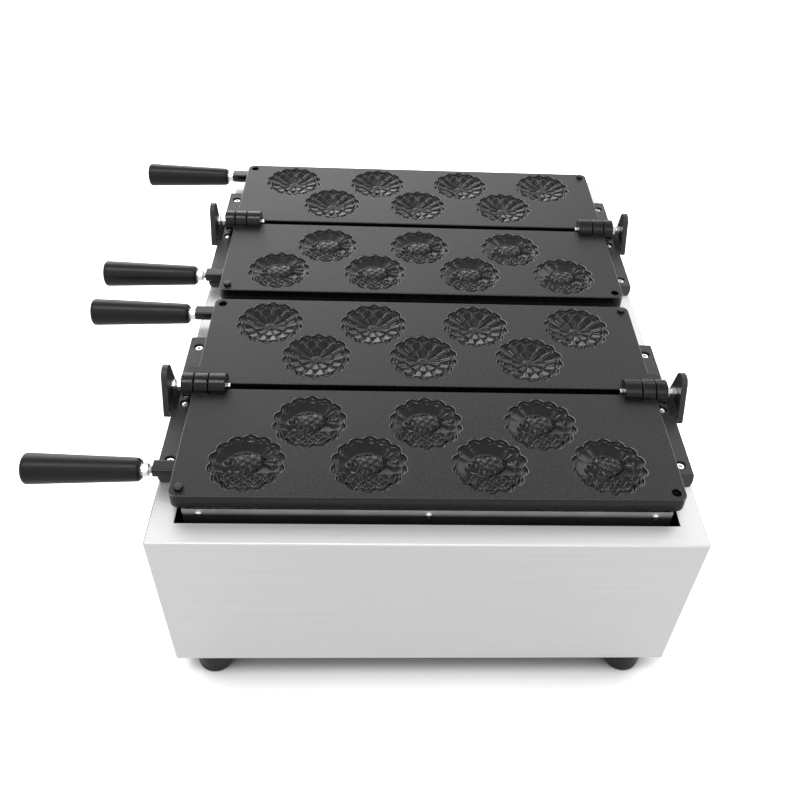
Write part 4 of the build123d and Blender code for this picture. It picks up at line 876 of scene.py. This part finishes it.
for row in ROWS:
    for side in SIDES:
        low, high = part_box("handle_stud_" + row + "_" + side)
        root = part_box("handle_" + row + "_" + side)[1].x
        middle = Vector((high.x, (low.y + high.y) / 2, (low.z + high.z) / 2))
        reach = (high.x - low.x) / MM
        open_from = (high.x - root) / MM
        plain = [(STUD_TIP, 0), (STUD_RADIUS, 0.8), (STUD_RADIUS, THREAD_FROM - 1)]
        cut = threads(STUD_RADIUS, THREAD_FROM, open_from + 2)
        rings = [*plain, *cut, (STUD_RADIUS, open_from + 3), (STUD_TIP, reach)]
        stud = aimed(turned(rings, 32), middle, (-1, 0, 0))
        nut = aimed(hexagon_nut(*STUD_NUT), (root + STUD_WASHER_HEIGHT * MM, middle.y, middle.z), (1, 0, 0))
        washer = aimed(turned(STUD_WASHER, 40), (root, middle.y, middle.z), (1, 0, 0))
        name = "stud_" + row + "_" + side
        settled_as(smooth(joined([stud, nut, washer])), name, "handle_" + name)

# %% [markdown]
# ## Hinges
# Two pins per row run through the knuckles from the inner side, and are held in the brackets' upright lugs.
# The bare stretch is threaded: one nut locks against the lug, and one keeps the outer knuckle in place.

# %% Turn the hinge pins
PIN_RADIUS = 4.0
KNUCKLES_START = 232.0
OUTER_KNUCKLE_END = 282.2
LUG_INNER = 295.4
LUG_OUTER = 302.4
PIN_TIP = [(1.2, -4.0), (2.7, -4.0), (3.2, -3.5), (3.2, 0.2), (PIN_RADIUS, 0.5)]
HINGE_NUT = (12.0, 4.9)
HINGE_NUT_GAP = 0.4

middle_x = (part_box("housing_shell")[0].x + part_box("housing_shell")[1].x) / 2
thread_start = OUTER_KNUCKLE_END - KNUCKLES_START
pin_end = LUG_OUTER - KNUCKLES_START
shank = [(PIN_RADIUS, thread_start - 1), *threads(PIN_RADIUS, thread_start, LUG_INNER - KNUCKLES_START)]
head = [(PIN_RADIUS, pin_end - 6), (PIN_RADIUS, pin_end - 0.9), (3.3, pin_end - 0.1), (1.0, pin_end)]
hinge_pin = turned([*PIN_TIP, *shank, *head], 40)
nut_places = []
for row in ROWS:
    line = hinge_line(row)
    ends = []
    for way in (-1, 1):
        ends.append(((middle_x + way * KNUCKLES_START * MM, line.y, line.z), (way, 0, 0)))
        for start in (OUTER_KNUCKLE_END + HINGE_NUT_GAP, LUG_INNER - HINGE_NUT[1]):
            nut_places.append(((middle_x + way * start * MM, line.y, line.z), (way, 0, 0)))
    pins = smooth(repeated(twin(hinge_pin), ends))
    settled_as(pins, "pins_" + row, "hinge_pins_" + row)
bpy.data.objects.remove(hinge_pin)
settled_as(smooth(repeated(hexagon_nut(*HINGE_NUT), nut_places)), "lock_nuts", "hinge_pin_nuts")

# %% Soften the brackets
for row in ROWS:
    for end in ("left", "right"):
        node = "hinge_bracket_" + row + "_" + end
        bracket = smooth(soften_edges(copy_of_solid(node), 0.7 * MM))
        settled_as(bracket, "cast_bracket_" + row + "_" + end, node)

# %% [markdown]
# ## Screws
# Two kinds of screw show. Socket screws hold the brackets down in deep counterbores, and pan-head screws with
# a cross recess hold the sheet parts. Each kind is made once and copied to its places.

# %% Socket screws of the brackets
SOCKET_SHANK = [(2.2, -10.2), (2.5, -9.8), (2.5, 0.0)]
SOCKET_HEAD = [(4.5, 0.0), (4.8, 0.3), (4.8, 3.3), (4.6, 3.75), (4.1, 4.0), (2.9, 4.0)]
SCREW_SEAT_DROP = 6.0
BAR_HEIGHT = 10.0
LOW_NUT = (8.0, 4.0)
LOW_NUT_DROP = 9.2
HOLES = ((281.3, -100.5), (281.3, 89.0), (280.5, -12.0))

socket_screw = turned([*SOCKET_SHANK, *SOCKET_HEAD], 40)
carve(socket_screw, prism(6, 2.3, 1.8, 5))
low_nut = aimed(hexagon_nut(*LOW_NUT), (0, 0, -LOW_NUT_DROP * MM))
socket_screw = joined([socket_screw, low_nut])
bar_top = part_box("housing_shell")[1].z + BAR_HEIGHT * MM
places = []
for row in ROWS:
    line = hinge_line(row)
    for way in (-1, 1):
        for across, along in HOLES:
            spot = (middle_x + way * across * MM, line.y + along * MM, bar_top - SCREW_SEAT_DROP * MM)
            places.append((spot, (0, 0, 1)))
settled_as(smooth(repeated(socket_screw, places)), "socket_screws", "bracket_screws")
print(len(places), "socket screws")

# %% Pan-head screws of the sheet parts
PAN_SHANK = [(1.6, -6.0), (2.0, -5.5), (2.0, 0.0)]
PAN_HEAD = [(3.8, 0.0), (4.0, 0.25), (4.0, 0.9), (3.8, 1.5), (3.3, 2.05), (2.4, 2.45), (1.2, 2.6)]
STRAPS = (-241.0, -2.0, 240.0)
STRAP_SCREW_DROP = 6.0
PANEL_SCREW_INSET = 7.0
SIDE_SCREW_INSET = 40.0
RAIL_SCREW_DROP = 15.0
RECESS = (4.4 * MM, 0.9 * MM, 3.2 * MM)
RECESS_HEIGHT = 2.9

pan_screw = turned([*PAN_SHANK, *PAN_HEAD], 32)
for turn in (0, 90):
    bpy.ops.mesh.primitive_cube_add(size=1)
    blade = bpy.context.object
    blade.scale = RECESS
    blade.location.z = RECESS_HEIGHT * MM
    blade.rotation_euler.z = radians(turn)
    begin_edit(blade, "FACE")
    select_where(blade, lambda face: face.normal.z < -0.5)
    bpy.ops.transform.resize(value=(0.35, 0.6, 1))
    end_edit()
    bpy.ops.object.transform_apply(location=True, rotation=True, scale=True)
    carve(pan_screw, blade)
places = []
for row in ROWS:
    low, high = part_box("heat_box_" + row)
    for x in STRAPS:
        for y, way in ((low.y, -1), (high.y, 1)):
            places.append(((middle_x + x * MM, y, high.z - STRAP_SCREW_DROP * MM), (0, way, 0)))
low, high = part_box("control_panel")
inset = PANEL_SCREW_INSET * MM
for y in (low.y + inset, high.y - inset):
    for z in (low.z + inset, high.z - inset):
        places.append(((low.x, y, z), (-1, 0, 0)))
low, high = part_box("housing_shell")
heights = (low.z + inset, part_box("support_rails")[1].z - RAIL_SCREW_DROP * MM)
for x, way in ((low.x, -1), (high.x, 1)):
    for y in (low.y + SIDE_SCREW_INSET * MM, high.y - SIDE_SCREW_INSET * MM):
        places += [((x, y, z), (way, 0, 0)) for z in heights]
settled_as(smooth(repeated(pan_screw, places)), "cross_screws", "pan_head_screws")
print(len(places), "pan-head screws")

# %% [markdown]
# ## Feet
# The feet are moulded rubber cones, with a lip at the top, a rounded sole and a deep hole for the screw head.

# %% Turn the feet
FOOT_HOLE = [(3.3, 10.0), (7.0, 10.0), (7.0, 0.7), (7.6, 0.0)]
SOLE = [(18.8, 0.0), (20.0, 0.3), (20.9, 1.0), (21.4, 2.0), (21.5, 2.6)]
FOOT_WALL = [(21.9, 9.4), (21.6, 10.0), (21.7, 11.2), (22.1, 11.8), (23.3, 33.6), (23.5, 34.4), (24.0, 35.0)]
FOOT_TOP = [(24.0, 37.6), (23.7, 38.0), (3.3, 38.0)]

foot = turned([*FOOT_HOLE, *SOLE, *FOOT_WALL, *FOOT_TOP], 64)
smooth(foot, 30.0)
for corner in ("front_left", "front_right", "back_left", "back_right"):
    low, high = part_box("foot_" + corner)
    place = ((low.x + high.x) / 2, (low.y + high.y) / 2, low.z)
    settled_as(aimed(twin(foot), place), "rubber_foot_" + corner, "foot_" + corner)
bpy.data.objects.remove(foot)

# %% [markdown]
# ## Controls
# The operator's side carries a panel with a thermostat knob, a pilot lamp and a rocker switch for each row.
# The knob's grip is fluted, and a pale line on its fin shows where it points. The scale is printed on the
# panel, with its ticks and numbers.

# %% Make the knobs
KNOB_SKIRT = [(5.6, 0.0), (20.4, 0.0), (21.0, 0.6), (21.0, 1.6), (20.2, 3.6), (18.0, 4.8), (16.4, 5.2)]
KNOB_GRIP = [(15.9, 6.4), (15.6, 18.6), (15.2, 20.0), (14.2, 20.8), (12.6, 21.0), (11.8, 20.6), (4.0, 20.4)]
FLUTES = 24
FLUTE_DEPTH = 0.93
FIN_SIZE = (21.5 * MM, 3.0 * MM, 13.5 * MM)
FIN_PLACE = Vector((-12.2 * MM, 0, 10.8 * MM))
LINE_SIZE = (0.3 * MM, 1.1 * MM, 11.0 * MM)
LINE_PLACE = Vector((-22.95 * MM, 0, 10.6 * MM))

for row in ROWS:
    low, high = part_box("thermostat_knob_" + row)
    centre = Vector((high.x, (low.y + high.y) / 2, (low.z + high.z) / 2))
    knob = turned([*KNOB_SKIRT, *KNOB_GRIP], FLUTES * 4)
    begin_edit(knob)

    def in_flute(vertex):
        step = np.arctan2(vertex.co.y, vertex.co.x) * FLUTES / (2 * pi) % 1
        return 0.3 < step < 0.8 and 6.0 * MM < vertex.co.z < 19.0 * MM

    select_where(knob, in_flute, "verts")
    bpy.ops.transform.resize(value=(FLUTE_DEPTH, FLUTE_DEPTH, 1), center_override=(0, 0, 0))
    end_edit()
    aimed(knob, centre, (-1, 0, 0))
    bpy.ops.mesh.primitive_cube_add(size=1)
    fin = bpy.context.object
    fin.scale = FIN_SIZE
    fin.location = centre + FIN_PLACE
    bpy.ops.object.transform_apply(location=True, rotation=True, scale=True)
    soften_edges(fin, 0.7 * MM)
    settled_as(smooth(joined([knob, fin])), "fluted_knob_" + row, "thermostat_knob_" + row)
    bpy.ops.mesh.primitive_cube_add(size=1)
    line = bpy.context.object
    line.scale = LINE_SIZE
    line.location = centre + LINE_PLACE
    soften_edges(line, 0.05)
    settled(line, "pointer_line_" + row, "knob_" + row, "cream_plastic")

# %% Print the scales round the knobs
SCALE_RADIUS = 26.5
NUMBER_RADIUS = 32.5
SCALE_TURN = 270.0
SCALE_STEPS = 18
PRINT_RISE = 0.12
NUMBERS = ("0", "50", "100", "150", "200", "250", "300")
NUMBER_SIZE = 5.2


def printed_text(words, size, place):
    """Flat letters on the panel, upright for someone who faces it."""
    bpy.ops.object.text_add()
    letters = bpy.context.object
    letters.data.body = words
    letters.data.size = size * MM
    letters.data.align_x, letters.data.align_y = "CENTER", "CENTER"
    letters.data.extrude = PRINT_RISE * MM
    letters.data.resolution_u = 4
    bpy.ops.object.convert(target="MESH")
    letters = bpy.context.object
    letters.rotation_euler = (pi / 2, 0, -pi / 2)
    letters.location = place
    bpy.ops.object.transform_apply(location=True, rotation=True, scale=True)
    return letters


panel_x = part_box("control_panel")[0].x
for row in ROWS:
    low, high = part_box("thermostat_knob_" + row)
    y, z = (low.y + high.y) / 2, (low.z + high.z) / 2
    marks = []
    for step in range(SCALE_STEPS + 1):
        angle = radians(SCALE_TURN * step / SCALE_STEPS)
        long_tick = step % 3 == 0
        tick = turned([(0.5, 0), (0.5, 2 * PRINT_RISE)], 4)
        tick.data.transform(Matrix.Diagonal((0.6, 4.0 if long_tick else 2.4, 1, 1)))
        tick.data.transform(Matrix.Rotation(angle, 4, "Z"))
        reach = SCALE_RADIUS * MM
        place = (panel_x + PRINT_RISE * MM, y - np.sin(angle) * reach, z + np.cos(angle) * reach)
        tick.data.transform(Matrix.Rotation(pi / 2, 4, "Z"))
        tick.data.transform(Matrix.Rotation(-pi / 2, 4, "Y"))
        tick.location = place
        marks.append(tick)
        if long_tick:
            reach = NUMBER_RADIUS * MM
            spot = (panel_x, y - np.sin(angle) * reach, z + np.cos(angle) * reach)
            marks.append(printed_text(NUMBERS[step // 3], NUMBER_SIZE, spot))
    settled(joined(marks), "scale_" + row, "housing", "black_plastic")

# %% [markdown]
# The lamps are domed lenses in bright rings. A rocker has a pale bar on one half and a pale ring on the
# other, which ride on it. The two halves are its largest faces towards the operator.

# %% Finish the switches and lamps
LENS = [(4.4, -27.0), (4.4, 0.0), (5.2, 0.0), (5.2, 2.6), (4.9, 3.8), (4.1, 4.6), (2.9, 4.95), (1.2, 5.0)]
RING = [(4.6, 0.0), (6.6, 0.0), (6.9, 0.4), (6.7, 1.5), (6.2, 2.1), (5.4, 2.2), (4.6, 1.4)]
MARK_BAR = [(0.45, -0.1), (0.45, 0.1), (0.3, 0.15), (0.0, 0.15)]
BAR_STRETCH = 6.0
RING_MARK = (2.2, 0.42)
RING_FLATNESS = 0.35


def bar_mark():
    mark = turned(MARK_BAR, 16)
    mark.data.transform(Matrix.Diagonal((1, BAR_STRETCH, 1, 1)))
    return mark


def ring_mark():
    radius, width = (size * MM for size in RING_MARK)
    bpy.ops.mesh.primitive_torus_add(
        major_radius=radius, minor_radius=width, major_segments=32, minor_segments=8, location=(0, 0, 0)
    )
    mark = bpy.context.object
    mark.data.transform(Matrix.Diagonal((1, 1, RING_FLATNESS, 1)))
    return smooth(mark)


for row in ROWS:
    low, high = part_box("pilot_lamp_" + row)
    place = (panel_x, (low.y + high.y) / 2, (low.z + high.z) / 2)
    lens = aimed(smooth(turned(LENS, 40)), place, (-1, 0, 0))
    settled_as(lens, "lamp_lens_" + row, "pilot_lamp_" + row)
    ring = aimed(smooth(turned(RING, 48)), place, (-1, 0, 0))
    settled(ring, "lamp_ring_" + row, "housing", "bright_steel")
    node = "switch_body_" + row
    settled_as(smooth(soften_edges(copy_of_solid(node), 0.6 * MM)), "switch_frame_" + row, node)
    node = "switch_rocker_" + row
    rocker = soften_edges(copy_of_solid(node), 0.5 * MM)
    facets = sorted(rocker.data.polygons, key=lambda face: -face.area * (face.normal.x < -0.85))[:2]
    spots = sorted(((face.center.copy(), face.normal.copy()) for face in facets), key=lambda spot: spot[0].z)
    settled_as(smooth(rocker), "rocker_" + row, node)
    marks = [aimed(ring_mark(), *spots[0]), aimed(bar_mark(), *spots[1])]
    settled(joined(marks), "switch_marks_" + row, body_with[node], "cream_plastic")

# %% Soften the edges of the panel and the cable's way out
for node, name, width in (("control_panel", "front_panel", 0.7), ("cable_gland", "cable_outlet", 0.8)):
    settled_as(smooth(soften_edges(copy_of_solid(node), width * MM, segments=3)), name, node)
